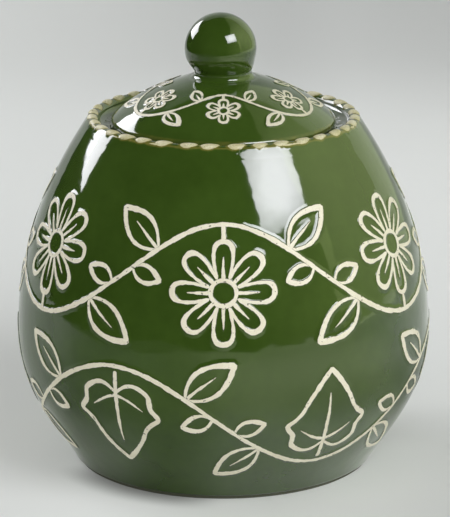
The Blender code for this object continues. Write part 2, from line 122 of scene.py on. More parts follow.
def bezier(start, start_handle, end_handle, end, steps):
    points = []
    for i in range(steps + 1):
        t, u = i / steps, 1 - i / steps
        near, far = 3 * u * u * t, 3 * u * t * t
        points.append(start * u**3 + start_handle * near + end_handle * far + end * t**3)
    return points


def arc(centre, radius, start, end, steps):
    return [centre + radius * toward(start + (end - start) * i / steps) for i in range(steps + 1)]


def soft_corner(before, corner, after, reach, steps=6):
    start = corner + (before - corner).normalized() * reach
    end = corner + (after - corner).normalized() * reach
    return bezier(start, start.lerp(corner, 2 / 3), end.lerp(corner, 2 / 3), end, steps)


def moved_aside(path, distance):
    moved = []
    for i, point in enumerate(path):
        ahead = path[min(i + 1, len(path) - 1)] - path[max(i - 1, 0)]
        moved.append(point + at(-ahead.y, ahead.x).normalized() * distance)
    return moved


print("a quarter circle ends at", rounded(arc(at(0, 0), 1, 0, QUARTER, 6)[-1], 2))


# %% The pot's section
def outer_wall(steps=60):
    foot = FOOT_CORNER + FOOT_EDGE_ROUND * toward(-FOOT_LEAN)
    belly = at(BELLY_RADIUS, BELLY_HEIGHT)
    rim = RIM_CORNER + RIM_EDGE_ROUND * toward(RIM_LEAN)
    below, above = belly.y - foot.y, rim.y - belly.y
    foot_handle = foot + toward(QUARTER - FOOT_LEAN) * below * FOOT_PULL
    rim_handle = rim - toward(QUARTER + RIM_LEAN) * above * RIM_PULL
    lower = bezier(foot, foot_handle, belly - at(0, below * BELLY_PULL_DOWN), belly, steps)
    upper = bezier(belly, belly + at(0, above * BELLY_PULL_UP), rim_handle, rim, steps)
    return lower + upper[1:]


def under_ledge_point(inside, bore):
    for low, high in zip(inside, inside[1:]):
        under = bore.y - (low.x - bore.x) * math.tan(LEDGE_SLOPE) - low.y
        over = bore.y - (high.x - bore.x) * math.tan(LEDGE_SLOPE) - high.y
        if under >= 0 > over:
            return low.lerp(high, under / (under - over))


def pot_section():
    floor_height, ledge_height = FOOT_HEIGHT + FLOOR, RIM_HEIGHT - LEDGE_DROP
    inside = moved_aside(outer_wall(), WALL)
    bore_bottom = at(MOUTH_RADIUS, ledge_height - LEDGE_THICKNESS)
    bore_top = at(MOUTH_RADIUS, ledge_height)
    ledge_end = at(LID_RADIUS + LID_SIDE_PLAY, ledge_height)
    gallery_end = at(ledge_end.x + GALLERY_WIDTH, RIM_HEIGHT)
    under_ledge = under_ledge_point(inside, bore_bottom)
    wall = [p for p in inside if floor_height + FLOOR_ROUND < p.y < under_ledge.y - LEDGE_UNDER_ROUND]
    floor_corner = at(wall[0].x - FLOOR_ROUND / 2, floor_height)
    section = [at(radius, floor_height) for radius in (0, *FLOOR_RINGS)]
    section += soft_corner(section[0], floor_corner, wall[0], FLOOR_ROUND, 12)[:-1] + wall
    section += soft_corner(wall[-1], under_ledge, bore_bottom, LEDGE_UNDER_ROUND)
    corners = [under_ledge, bore_bottom, bore_top, ledge_end, gallery_end]
    for before, corner, after in zip(corners, corners[1:], corners[2:]):
        section += soft_corner(before, corner, after, LEDGE_EDGE_ROUND)
    section += [gallery_end] + arc(RIM_CORNER, RIM_EDGE_ROUND, QUARTER, RIM_LEAN, 5)
    section += list(reversed(outer_wall()[:-1]))
    section += arc(FOOT_CORNER, FOOT_EDGE_ROUND, -FOOT_LEAN, -QUARTER, 6)[1:]
    return section + [at(radius, FOOT_HEIGHT) for radius in (*UNDERSIDE_RINGS, 0)]


pot_outline = pot_section()
widest = max(point.x for point in pot_outline)
print("pot section:", len(pot_outline), "points, widest", round(widest * 1000, 1), "mm from the axis")

# %% [markdown]
# ## The lid's, the knob's and the small rings' sections
# The lid is a hollow dome with a rolled lip. Its collar drops into the mouth, and the ball knob stands on
# a short neck. They are turned pieces too, so they are sections as well.

# %% The lid's and the rings' sections
def dome_curve(steps=40):
    crown = at(CROWN_RADIUS, CROWN_HEIGHT)
    edge = LIP_CENTRE + LIP_ROUND * toward(DOME_LEAN)
    span = (edge - crown).length
    crown_handle = crown + toward(-CROWN_LEAN) * span * CROWN_PULL
    edge_handle = edge + toward(DOME_LEAN + QUARTER) * span * LIP_PULL
    return bezier(crown, crown_handle, edge_handle, edge, steps)


def dome_section():
    top = dome_curve()
    hollow = MOUTH_RADIUS - LID_SIDE_PLAY - COLLAR_THICKNESS
    under = [p for p in moved_aside(top, -DOME_THICKNESS) if p.x < hollow - LIP_ROUND]
    fall = (under[-1].y - under[-2].y) / (under[-1].x - under[-2].x)
    seat_inner = at(hollow, SEAT_HEIGHT)
    hollow_edge = at(hollow, under[-1].y + fall * (hollow - under[-1].x))
    section = [at(0, CROWN_HEIGHT), at(CROWN_RING, CROWN_HEIGHT)] + top[:-1]
    section += arc(LIP_CENTRE, LIP_ROUND, DOME_LEAN, -QUARTER, 12) + [seat_inner]
    section += soft_corner(seat_inner, hollow_edge, under[-1], LIP_ROUND / 2)
    return section + list(reversed(under)) + [at(0, under[0].y)]


def ring_section(outer, thickness, top, bottom, soft):
    inner = outer - thickness
    corners = [at(inner, top), at(outer, top), at(outer, bottom), at(inner, bottom)]
    section = corners[:2]
    section += soft_corner(corners[1], corners[2], corners[3], soft)
    section += soft_corner(corners[2], corners[3], corners[0], soft)
    return section + corners[:1]


def knob_section():
    ball_end = -math.acos(NECK_RADIUS / BALL_RADIUS)
    ball_centre = at(0, CROWN_HEIGHT + NECK_LENGTH - BALL_RADIUS * math.sin(ball_end))
    fillet = at(NECK_RADIUS + NECK_FILLET, CROWN_HEIGHT + NECK_FILLET)
    ball = arc(ball_centre, BALL_RADIUS, QUARTER, ball_end, 48)
    foot = arc(fillet, NECK_FILLET, 2 * QUARTER, 3 * QUARTER, 10)
    return [at(0, ball[0].y)] + ball[1:] + foot + [at(0, CROWN_HEIGHT)]


print("lid section:", len(dome_section()), "points; knob section:", len(knob_section()), "points")

# %% [markdown]
# ## Sums with nodes
# Every finish and every piece of slip or clay here comes from a node tree built in code. A tree is easier
# to read as a sum than as a list of wires, so a small class lets the output of a node be added,
# multiplied and raised like a number. Each operation adds the Math node that does it, in the tree that
# the value belongs to. Its to() wires it into a socket, and its beside() gives another output of the same
# node.

# %% Values that come out of nodes
class Value:
    def __init__(self, socket):
        self.socket, self.tree = socket, socket.id_data

    def to(self, socket):
        self.tree.links.new(self.socket, socket)

    def beside(self, output):
        return Value(self.socket.node.outputs[output])

    def __add__(self, other):
        return maths("ADD", self, other)

    def __sub__(self, other):
        return maths("SUBTRACT", self, other)

    def __rsub__(self, other):
        return maths("SUBTRACT", other, self)

    def __mul__(self, other):
        return maths("MULTIPLY", self, other)

    def __truediv__(self, other):
        return maths("DIVIDE", self, other)

    def __rtruediv__(self, other):
        return maths("DIVIDE", other, self)

    def __pow__(self, other):
        return maths("POWER", self, other)


def wired(kind, inputs=None, output=0, tree=None, **settings):
    inputs = inputs or {}
    tree = tree or next(value.tree for value in inputs.values() if isinstance(value, Value))
    node = tree.nodes.new(kind)
    node.location = (200 * len(tree.nodes), 0)
    for name, value in settings.items():
        setattr(node, name, value)
    for socket, value in inputs.items():
        if isinstance(value, Value):
            value.to(node.inputs[socket])
        else:
            node.inputs[socket].default_value = value
    return Value(node.outputs[output])


def maths(operation, *values):
    return wired("ShaderNodeMath", dict(enumerate(values)), operation=operation)


print("wired() adds a node and gives one of its outputs")

# %% Vectors, blends and noise
def vectors(operation, *values, output=0):
    return wired("ShaderNodeVectorMath", dict(enumerate(values)), output, operation=operation)


def scaled(vector, amount):
    return wired("ShaderNodeVectorMath", {0: vector, "Scale": amount}, operation="SCALE")


def length_of(vector):
    return vectors("LENGTH", vector, output="Value")


def split(vector):
    first = wired("ShaderNodeSeparateXYZ", {0: vector})
    return first, first.beside(1), first.beside(2)


def joined(*parts):
    return wired("ShaderNodeCombineXYZ", dict(enumerate(parts)))


def turned_round(place, angle):
    return wired("ShaderNodeVectorRotate", {"Vector": place, "Angle": angle}, rotation_type="Z_AXIS")


def mixed(amount, first, second):
    return wired("ShaderNodeMix", {0: amount, 6: first, 7: second}, 2, data_type="RGBA")


def between(amount, first, second):
    return wired("ShaderNodeMix", {0: amount, 2: first, 3: second})


def ramped(value, low, high, to_low=0.0, to_high=1.0):
    inputs = {"Value": value, "From Min": low, "From Max": high, "To Min": to_low, "To Max": to_high}
    return wired("ShaderNodeMapRange", inputs, interpolation_type="SMOOTHSTEP")


def noise(place, size, detail=2.0, seed=0.0):
    inputs = {"Vector": place, "W": seed, "Scale": 1 / size, "Detail": detail}
    return wired("ShaderNodeTexNoise", inputs, noise_dimensions="4D")


def start_group(name, kind, inputs, outputs):
    tree = bpy.data.node_groups.new(name, kind)
    for label, value in inputs.items():
        socket = value if isinstance(value, str) else type(value).__name__.title()
        made = tree.interface.new_socket(name=label, in_out="INPUT", socket_type=f"NodeSocket{socket}")
        if not isinstance(value, str):
            made.default_value = value
    for label, socket in outputs.items():
        tree.interface.new_socket(name=label, in_out="OUTPUT", socket_type=f"NodeSocket{socket}")
    given = tree.nodes.new("NodeGroupInput").outputs
    return tree, {label: Value(given[label]) for label in inputs}, tree.nodes.new("NodeGroupOutput").inputs


print("start_group() takes a number as a default, or the name of a kind of socket")

# %% [markdown]
# ## The green glaze
# The glaze is glass, coloured right through. It is darker where it is thick, a little yellower where it
# is thin, and never quite level: slow waves, runs that hang down the wall and a fine orange peel all bend
# what it mirrors. Three materials need it, because it also runs between the slip lines and into the rope,
# so it is a shader group that puts out a colour and a height. The shiny shader itself stays in each
# material.

# %% Glaze group
# A layer of noise is the size of its patches, its detail and its seed.
GLAZE_DEEP, GLAZE_LIGHT = (0.028, 0.057, 0.0062, 1), (0.042, 0.081, 0.0110, 1)
GLAZE_THIN, GLAZE_SPECK = (0.185, 0.170, 0.035, 1), (0.008, 0.020, 0.004, 1)
GLAZE_GLOSS, GLAZE_INDEX = 0.06, 1.62
CLOUDS, MOTTLE, SPECKS = (0.034, 3), (0.0045, 3, 2.0), (0.00055, 1, 5.0)
WAVES, RUNS, PEEL = (0.011, 2, 3.0), (0.0042, 2, 6.0), (0.0022, 1, 4.0)
WAVE_HEIGHT, RUN_HEIGHT, PEEL_HEIGHT = 0.00019, 0.000022, 0.0000035
RUN_STRETCH, TONE_RANGE, SPECK_RANGE = (1, 1, 0.25), (0.45, 0.90), (0.76, 0.82)
MOTTLE_SHARE, SPECK_SHARE = 0.35, 0.55


def object_place(tree):
    return wired("ShaderNodeTexCoord", output="Object", tree=tree)


def glaze_group():
    outputs = {"Color": "Color", "Height": "Float"}
    tree, given, made = start_group("green_glaze_look", "ShaderNodeTree", {"Thinness": 0.0}, outputs)
    place = object_place(tree)
    tone = ramped(noise(place, *CLOUDS) + noise(place, *MOTTLE) * MOTTLE_SHARE, *TONE_RANGE)
    specks = ramped(noise(place, *SPECKS), *SPECK_RANGE)
    green = mixed(specks * SPECK_SHARE, mixed(tone, GLAZE_DEEP, GLAZE_LIGHT), GLAZE_SPECK)
    mixed(given["Thinness"], green, GLAZE_THIN).to(made["Color"])
    runs = noise(vectors("MULTIPLY", place, RUN_STRETCH), *RUNS)
    level = noise(place, *WAVES) * WAVE_HEIGHT + runs * RUN_HEIGHT
    (level + noise(place, *PEEL) * PEEL_HEIGHT).to(made["Height"])
    return tree


glaze_look = glaze_group()
print("glaze group:", len(glaze_look.nodes), "nodes")

# %% [markdown]
# ## The clay's grain
# Slip and bare clay are matte and sandy: a fine grain, pale and darker patches, and now and then a
# pinhole where a bubble opened. One group serves them all: the slip lines and the rope with a finer
# grain, the bare foot and collar with a coarser one.

# %% Clay group
GRAIN, PATCHES, PINHOLES = (1.0, 3, 1.0), (0.0060, 2, 2.0), (0.0007, 0, 6.0)
GRAIN_HEIGHT, PINHOLE_DEPTH, PINHOLE_RANGE = 0.000018, 0.00006, (0.75, 0.80)


def clay_group():
    outputs = {"Shade": "Float", "Pinholes": "Float", "Height": "Float"}
    tree, given, made = start_group("clay_grain", "ShaderNodeTree", {"Grain": 0.0005}, outputs)
    place = object_place(tree)
    fine = noise(scaled(place, 1 / given["Grain"]), *GRAIN)
    (fine * 0.5 + noise(place, *PATCHES) * 0.5).to(made["Shade"])
    holes = ramped(noise(place, *PINHOLES), *PINHOLE_RANGE)
    holes.to(made["Pinholes"])
    (fine * GRAIN_HEIGHT - holes * PINHOLE_DEPTH).to(made["Height"])
    return tree


clay_look = clay_group()
print("clay group:", len(clay_look.nodes), "nodes")

# %% [markdown]
# ## The finishes
# Each finish is one material with its own Principled shader. The glazed body uses the glaze alone. It
# breaks to a thin yellow along the lid's lip, where glaze drains off an edge, and pools in ripples in the
# gallery round the lid. The foot and the lid's collar are bare clay, and the foot's outer side is painted
# a dark olive, a painted shade for the shadow where the foot meets the table. A painted texture could hold
# all this, but noise set in real sizes stays crisp at any zoom and needs no unwrapping.

# %% Glazed body and bare clay
LIP_LINE, LIP_FADE = LID_RADIUS - 0.0002, (0.0006, 0.0001)
LIP_RAGGED, LIP_THINNESS = (0.0030, 2, 8.0), (0.35, 0.65, 0.10, 0.45)
LIP_LEVELS = SEAT_HEIGHT - 0.0006, SEAT_HEIGHT + 0.0002
GALLERY_OUTER, GALLERY_INNER = (0.0362, 0.0350), (0.0306, 0.0312)
GALLERY_LEVELS = RIM_HEIGHT - 0.0016, RIM_HEIGHT - 0.0010
RIPPLES, RIPPLE_HEIGHT = (0.0022, 1, 9.0), 0.00030
FOOT_RADIUS = FOOT_EDGE_RADIUS - FOOT_INSET
# The radii where the painted shade on the foot's outer side begins and where it is full.
FOOT_SHADE_EDGE, CLAY_HOLE_SHARE = (FOOT_RADIUS - 0.0007, FOOT_RADIUS - 0.0003), 0.6
CLAY_DARK, CLAY_PALE = (0.50, 0.40, 0.27, 1), (0.78, 0.68, 0.53, 1)
# Painted shade: the dark olive given to the foot's outer side stands for the shadow at the foot.
CLAY_HOLE, CLAY_PAINTED_SHADE, CLAY_ROUGHNESS = (0.20, 0.14, 0.09, 1), (0.085, 0.090, 0.060, 1), 0.78


def new_material(name):
    material = bpy.data.materials.new(name)
    material.use_nodes = True
    tree = material.node_tree
    return material, object_place(tree), tree.nodes["Principled BSDF"].inputs


def bumped(height):
    return wired("ShaderNodeBump", {"Height": height, "Distance": 1.0})


def from_axis(place):
    return length_of(vectors("MULTIPLY", place, (1, 1, 0)))


def glazed_material():
    material, place, shader = new_material("green_glaze")
    radius, height = from_axis(place), split(place)[2]
    near_lip = ramped(maths("ABSOLUTE", radius - LIP_LINE), *LIP_FADE) * ramped(height, *LIP_LEVELS)
    thinness = near_lip * ramped(noise(place, *LIP_RAGGED), *LIP_THINNESS)
    glaze = wired("ShaderNodeGroup", {"Thinness": thinness}, "Color", node_tree=glaze_look)
    glaze.to(shader["Base Color"])
    gallery = ramped(radius, *GALLERY_OUTER) * ramped(radius, *GALLERY_INNER)
    ripple = noise(place, *RIPPLES) * (gallery * ramped(height, *GALLERY_LEVELS) * RIPPLE_HEIGHT)
    bumped(glaze.beside("Height") + ripple).to(shader["Normal"])
    shader["Roughness"].default_value = GLAZE_GLOSS
    shader["IOR"].default_value = GLAZE_INDEX
    return material


def bare_clay_material():
    material, place, shader = new_material("bare_clay")
    # Painted shade: the foot's outer side turns dark olive for the shadow where it meets the table.
    painted_foot_shade = ramped(from_axis(place), *FOOT_SHADE_EDGE)
    clay = wired("ShaderNodeGroup", output="Shade", tree=place.tree, node_tree=clay_look)
    colour = mixed(clay, CLAY_DARK, CLAY_PALE)
    colour = mixed(clay.beside("Pinholes") * CLAY_HOLE_SHARE, colour, CLAY_HOLE)
    mixed(painted_foot_shade, colour, CLAY_PAINTED_SHADE).to(shader["Base Color"])
    bumped(clay.beside("Height")).to(shader["Normal"])
    shader["Roughness"].default_value = CLAY_ROUGHNESS
    return material


green_glaze = glazed_material()
bare_clay = bare_clay_material()
print("materials:", green_glaze.name, bare_clay.name)

# %% [markdown]
# ## Slip beside glaze
# The lines and the rope carry an attribute, from_edge, that says how far a place lies inside the edge of
# its line, in millimetres on a line and as a share on a strand. Above zero the surface is cream slip, and
# below it is glaze that has crept up to the line. A little noise on that one number makes the border
# ragged, and each ramp from it lays a stain, a dark border or a thin margin of glaze where it belongs.

# %% Slip lines and rope strands
SLIP_RAGGED, SLIP_GRAIN, SLIP_ROUGHNESS = (0.0010, 3, 7.0), 0.0004, 0.55
SLIP_HOLE, BORDER_DARK = (0.10, 0.085, 0.045, 1), (0.020, 0.030, 0.008, 1)
SLIP_START, EDGE_END, BORDER_RANGE = (-0.03, 0.05), 0.02, (-0.16, -0.04)
STAIN_RANGE, SLIP_HOLE_SHARE = (0.38, 0.62), 0.75


def slip_material(name, cream, stain, margin, raggedness, border, edge_width, edge_stain):
    material, place, shader = new_material(name)
    inside = wired("ShaderNodeAttribute", output="Fac", tree=place.tree, attribute_name="from_edge")
    inside += (noise(place, *SLIP_RAGGED) - 0.5) * raggedness
    is_slip = ramped(inside, *SLIP_START)
    is_glaze = 1 - is_slip
    thinness = ramped(inside, margin[0], margin[1], 0.0, margin[2])
    glaze = wired("ShaderNodeGroup", {"Thinness": thinness}, "Color", node_tree=glaze_look)
    clay = wired("ShaderNodeGroup", {"Grain": SLIP_GRAIN}, "Shade", place.tree, node_tree=clay_look)
    slip = mixed(ramped(clay, *STAIN_RANGE), stain, cream)
    slip = mixed(ramped(inside, edge_width, EDGE_END) * edge_stain, slip, stain)
    slip = mixed(clay.beside("Pinholes") * SLIP_HOLE_SHARE, slip, SLIP_HOLE)
    glazed = mixed(ramped(inside, *BORDER_RANGE) * is_glaze * border, glaze, BORDER_DARK)
    mixed(is_slip, glazed, slip).to(shader["Base Color"])
    ramped(is_slip, 0.0, 1.0, GLAZE_GLOSS, SLIP_ROUGHNESS).to(shader["Roughness"])
    bumped(clay.beside("Height") * is_slip + glaze.beside("Height") * is_glaze).to(shader["Normal"])
    shader["IOR"].default_value = GLAZE_INDEX
    return material


cream_slip = slip_material(
    "cream_slip", (0.87, 0.825, 0.66, 1), (0.80, 0.745, 0.57, 1), (-0.20, 0.0, 0.12), 0.26, 0.55, 0.22, 0.35
)
strand_clay = slip_material(
    "strand_clay", (0.80, 0.76, 0.56, 1), (0.52, 0.475, 0.235, 1), (-1.00, -0.05, 0.90), 0.45, 0.0, 0.85, 0.75
)
print("materials:", cream_slip.name, strand_clay.name)

# %% [markdown]
# ## Made by hand
# A wheel and a pair of hands never make a perfect circle. A small geometry group gives every turned
# surface a slow swell of under a tenth of a millimetre, in and out from the axis. The lines of slip use
# the same group with the same seed, so they ride over each swell together with the wall under them.

# %% The hand-made swell
SWELL, SWELL_SIZE, CALM_RADIUS = 0.00009, 0.026, 0.020
POT_SEED, LID_SEED, KNOB_SEED = 11.0, 23.0, 31.0


def hand_made_group():
    inputs = {"Position": "Vector", "Amount": SWELL, "Size": SWELL_SIZE, "Seed": 0.0}
    tree, given, made = start_group("hand_made", "GeometryNodeTree", inputs, {"Offset": "Vector"})
    swell = (noise(given["Position"], given["Size"], 1.0, given["Seed"]) - 0.5) * (given["Amount"] * 2.0)
    flat = vectors("MULTIPLY", given["Position"], (1, 1, 0))
    scaled(flat, swell / maths("MAXIMUM", length_of(flat), CALM_RADIUS)).to(made["Offset"])
    return tree


def hand_moved(place, **inputs):
    swell = wired("GeometryNodeGroup", {"Position": place, **inputs}, node_tree=hand_made)
    return vectors("ADD", place, swell)


hand_made = hand_made_group()
print("hand-made group:", len(hand_made.nodes), "nodes")

# %% [markdown]
# ## The turning tree
# A lathe as Geometry Nodes: a grid has one row for each point of the section and one column for each step
# round. Each row takes its place from the section by index, and each column turns it about the axis.
# Merging the doubles closes the seam and the poles. A Screw modifier would do it too, but the tree also
# adds the hand-made swell.

# %% A grid that follows a section round the axis
MERGE_DISTANCE = 0.000002


def position(tree):
    return wired("GeometryNodeInputPosition", tree=tree)


def turned_grid(given):
    rows = wired("GeometryNodeAttributeDomainSize", {"Geometry": given["Geometry"]}, "Point Count")
    grid = wired("GeometryNodeMeshGrid", {"Vertices X": given["Steps Round"] + 1.0, "Vertices Y": rows})
    index = wired("GeometryNodeInputIndex", tree=rows.tree)
    column = maths("FLOOR", index / rows)
    inputs = {"Geometry": given["Geometry"], "Value": position(rows.tree), "Index": index - column * rows}
    place = wired("GeometryNodeSampleIndex", inputs, data_type="FLOAT_VECTOR")
    return grid, place, column * math.tau / given["Steps Round"]


def with_material(shape, given):
    shape = wired("GeometryNodeRealizeInstances", {"Geometry": shape})
    return wired("GeometryNodeSetMaterial", {"Geometry": shape, "Material": given["Material"]})


def turned_surface(given, grid, place, turn):
    place = hand_moved(turned_round(place, turn), Amount=given["Swell"], Seed=given["Seed"])
    shape = wired("GeometryNodeSetPosition", {"Geometry": grid, "Position": place})
    shape = wired("GeometryNodeMergeByDistance", {"Geometry": shape, "Distance": MERGE_DISTANCE})
    return with_material(shape, given)


def turning_tree():
    inputs = {"Geometry": "Geometry", "Material": "Material", "Steps Round": 192, "Swell": SWELL, "Seed": 0.0}
    tree, given, made = start_group("turn_section", "GeometryNodeTree", inputs, {"Geometry": "Geometry"})
    turned_surface(given, *turned_grid(given)).to(made["Geometry"])
    return tree


turn_section = turning_tree()
print("turning tree:", len(turn_section.nodes), "nodes")

# %% From a node tree to a finished piece
def chain(count, closed=False):
    return [(i, (i + 1) % count) for i in range(count if closed else count - 1)]


def drawing(name, points, edges, faces=(), **attributes):
    mesh = bpy.data.meshes.new(name)
    mesh.from_pydata(points, edges, faces)
    for label, values in attributes.items():
        mesh.attributes.new(label, "FLOAT", "POINT").data.foreach_set("value", values)
    return put_in_scene(name, mesh)


def drawn_section(name, path):
    return drawing(name, [(p.x, 0, p.y) for p in path], chain(len(path)))


def shaped_by(source, tree, **inputs):
    modifier = source.modifiers.new("shape", "NODES")
    modifier.node_group = tree
    for item in tree.interface.items_tree:
        name = item.name.replace(" ", "_").lower()
        if item.in_out == "INPUT" and name in inputs:
            modifier[item.identifier] = inputs[name]


def faces_outwards(mesh):
    check = bmesh.new()
    check.from_mesh(mesh)
    if check.calc_volume(signed=True) < 0:
        bmesh.ops.reverse_faces(check, faces=check.faces)
        check.to_mesh(mesh)
    loose = sum(not edge.is_manifold for edge in check.edges)
    triangles = sum(len(face.verts) - 2 for face in check.faces)
    check.free()
    return triangles, loose


def finish_piece(source, name, body, replaced, sharp=40):
    graph = bpy.context.evaluated_depsgraph_get()
    mesh = bpy.data.meshes.new_from_object(source.evaluated_get(graph))
    bpy.data.objects.remove(source)
    material = mesh.materials[-1]
    mesh.materials.clear()
    mesh.materials.append(material)
    mesh.polygons.foreach_set("material_index", [0] * len(mesh.polygons))
    mesh.shade_smooth()
    mesh.set_sharp_from_angle(angle=math.radians(sharp))
    triangles, loose = faces_outwards(mesh)
    mesh.name = name
    piece = put_in_scene(name, mesh)
    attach(piece, body)
    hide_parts(*replaced)
    print(f"{name}: {triangles} triangles, {loose} open edges, {material.name}")
    return piece


print("a drawing goes through a tree and comes out as a plain mesh")

# %% [markdown]
# ## Turn the pot, the lid and the knob
# The glazed pieces are turned from their sections. The foot and the collar stay unglazed on a real bowl,
# or they would stick to the kiln shelf and to the ledge, so they get the bare clay. The knob is pulled a
# little out of true, as a ball that was stuck on by hand is. Its mesh is already plain, so its points are
# moved one by one.

# %% Turned pieces
KNOB_LEAN, KNOB_LEAN_HEIGHT = 0.0008, 0.0050


def turned_piece(name, section, steps, seed, material, body, replaced):
    source = drawn_section("section", section)
    shaped_by(source, turn_section, steps_round=steps, swell=SWELL, seed=seed, material=material)
    return finish_piece(source, name, body, [replaced])


def lean_to_the_left(piece):
    for vertex in piece.data.vertices:
        rise = min(max((vertex.co.z - CROWN_HEIGHT - NECK_FILLET / 2) / KNOB_LEAN_HEIGHT, 0), 1)
        vertex.co.x -= KNOB_LEAN * rise * rise * (3 - 2 * rise)


foot_outline = ring_section(FOOT_RADIUS, FOOT_WIDTH, FOOT_HEIGHT, 0, FOOT_SOFT)
collar_outline = ring_section(
    MOUTH_RADIUS - LID_SIDE_PLAY, COLLAR_THICKNESS, SEAT_HEIGHT, SEAT_HEIGHT - COLLAR_DEPTH, COLLAR_SOFT
)
turned_piece("glazed_pot", pot_outline, 192, POT_SEED, green_glaze, "pot", "pot_body")
turned_piece("bare_foot", foot_outline, 160, POT_SEED, bare_clay, "pot", "foot_ring")
turned_piece("glazed_lid", dome_section(), 160, LID_SEED, green_glaze, "lid", "lid_dome")
turned_piece("bare_collar", collar_outline, 128, LID_SEED, bare_clay, "lid", "lid_collar")
knob = turned_piece("ball_knob", knob_section(), 96, KNOB_SEED, green_glaze, "lid", "lid_knob")
lean_to_the_left(knob)

# %% [markdown]
# ## The rope edge
# A strip of clay is laid on the rim and pressed into slanting strands. Glaze fills the grooves and runs
# up from the wall, and the crests are wiped nearly bare, so each strand shows as a tan oval with an olive
# margin. Here and there the wiping also bared the strip's outer edge. The same turned grid makes it: its
# section carries the wall's line up and over the rope, and each point then rises by how far inside the
# nearest oval it lies. That one number also goes to the material, which puts the tan where the crest is.

# %% The rope's section
STRAND_LENGTH, STRAND_WIDTH, STRAND_SLANT = 0.0049, 0.0036, math.radians(33)
STRAND_STEPS, STRAND_FULLNESS, CREST_FULLNESS = 22, 2.2, 0.55
STRAND_SHIFT, STRAND_SIZE, STRAND_TWIST = (-0.07, 0.07, 3), (0.90, 1.08, 4), (-0.12, 0.12, 5)
WORN_DROP, WORN_HALF, WORN_MOST = 0.00165, 0.00045, 0.3
WORN_PATCHES, WORN_RANGE = (0.0050, 2, 9.0), (0.42, 0.68, -0.80, -0.05)
ROPE_CORE, ROPE_SKIN, INNER_TURN = 0.00165, 0.00002, math.radians(172)
ROPE_CENTRE = at(ROPE_RING_RADIUS, RIM_HEIGHT + ROPE_RISE - ROPE_RADIUS)
ROPE_START, INNER_REACH = 0.0014, 0.0007
INNER_FOOT, INNER_SLOPE = at(0.0328, RIM_HEIGHT - 0.0003), at(0.0006, 0.00021)
SUNK_POINTS = [at(0.0326, RIM_HEIGHT - 0.00042), at(0.0345, RIM_HEIGHT - 0.0012)]
SUNK_POINTS += [at(0.0370, RIM_HEIGHT - 0.0016)]


def rope_section():
    wall = [p for p in outer_wall(240) if p.y > RIM_HEIGHT - ROPE_START][::2]
    under, over = moved_aside(wall, ROPE_SKIN), moved_aside(wall, -ROPE_SKIN)
    section = [a.lerp(b, i / (len(wall) - 1)) for i, (a, b) in enumerate(zip(under, over))]
    section.append(section[-1].lerp(ROPE_CENTRE + ROPE_CORE * toward(RIM_LEAN), 0.5))
    section += arc(ROPE_CENTRE, ROPE_CORE, RIM_LEAN, INNER_TURN, 28)
    handle = section[-1] + toward(INNER_TURN + QUARTER) * INNER_REACH
    section += bezier(section[-1], handle, INNER_FOOT + INNER_SLOPE, INNER_FOOT, 10)[1:]
    return section + SUNK_POINTS + section[:1]


print("the rope's section has", len(rope_section()), "points")


# %% Raise the strands
def inside_strand(given, place, turn):
    x, _, z = split(place)
    out, up = x - ROPE_CENTRE.x, z - ROPE_CENTRE.y
    over = (maths("ARCTAN2", up, out) - QUARTER) * ROPE_RADIUS
    count = turn * given["Strands"] / math.tau
    which = maths("MODULO", maths("FLOOR", count), given["Strands"])
    shift, size, twist = (
        wired("FunctionNodeRandomValue", {2: low, 3: high, "ID": which, "Seed": seed}, 1)
        for low, high, seed in (STRAND_SHIFT, STRAND_SIZE, STRAND_TWIST)
    )
    pitch = math.tau * ROPE_RING_RADIUS / given["Strands"]
    along = (maths("FRACT", count) - 0.5 + shift) * pitch
    own = split(turned_round(joined(along, over), twist - given["Slant"]))
    length = maths("ABSOLUTE", own[0]) / (size * (STRAND_LENGTH / 2))
    width = maths("ABSOLUTE", own[1]) / (size * (STRAND_WIDTH / 2))
    inside = 1 - (length**STRAND_FULLNESS + width**STRAND_FULLNESS)
    return inside, over, vectors("NORMALIZE", joined(out, 0, up))


def worn_edge(place, turn, over):
    patchy = ramped(noise(turned_round(place, turn), *WORN_PATCHES), *WORN_RANGE)
    aside = maths("ABSOLUTE", over + WORN_DROP) / WORN_HALF
    return maths("MINIMUM", (1 - aside) * 0.5 + patchy, WORN_MOST)


def rope_tree():
    inputs = {"Geometry": "Geometry", "Material": "Material", "Steps Round": ROPE_STRANDS * STRAND_STEPS}
    inputs.update({"Strands": ROPE_STRANDS, "Slant": STRAND_SLANT, "Crest": ROPE_RADIUS - ROPE_CORE})
    inputs.update({"Swell": SWELL, "Seed": POT_SEED})
    tree, given, made = start_group("rope_edge", "GeometryNodeTree", inputs, {"Geometry": "Geometry"})
    grid, place, turn = turned_grid(given)
    inside, over, direction = inside_strand(given, place, turn)
    inside = maths("MAXIMUM", inside, worn_edge(place, turn, over))
    crest = maths("MAXIMUM", inside, 0.0) ** CREST_FULLNESS * given["Crest"]
    grid = wired("GeometryNodeStoreNamedAttribute", {"Geometry": grid, "Name": "from_edge", "Value": inside})
    place = vectors("ADD", place, scaled(direction, crest))
    turned_surface(given, grid, place, turn).to(made["Geometry"])
    return tree


rope_source = drawn_section("rope_section", rope_section())
shaped_by(rope_source, rope_tree(), material=strand_clay)
finish_piece(rope_source, "rope_edge", "pot", ["rim_rope"], sharp=180)

# %% [markdown]
# ## Drawing the vines
# The slip is trailed from a nozzle, so a line is thin where the hand starts and swells where it slows at
# a tip or a bend. The motifs are drawn flat first, in metres: each line is a list of points with half its
# width at each one. There are a daisy with its eye and petal veins, a stem with a leaf and a bud on each
# side, and an ivy leaf. Lists of widths and of places along a motif are shares of its named sizes.

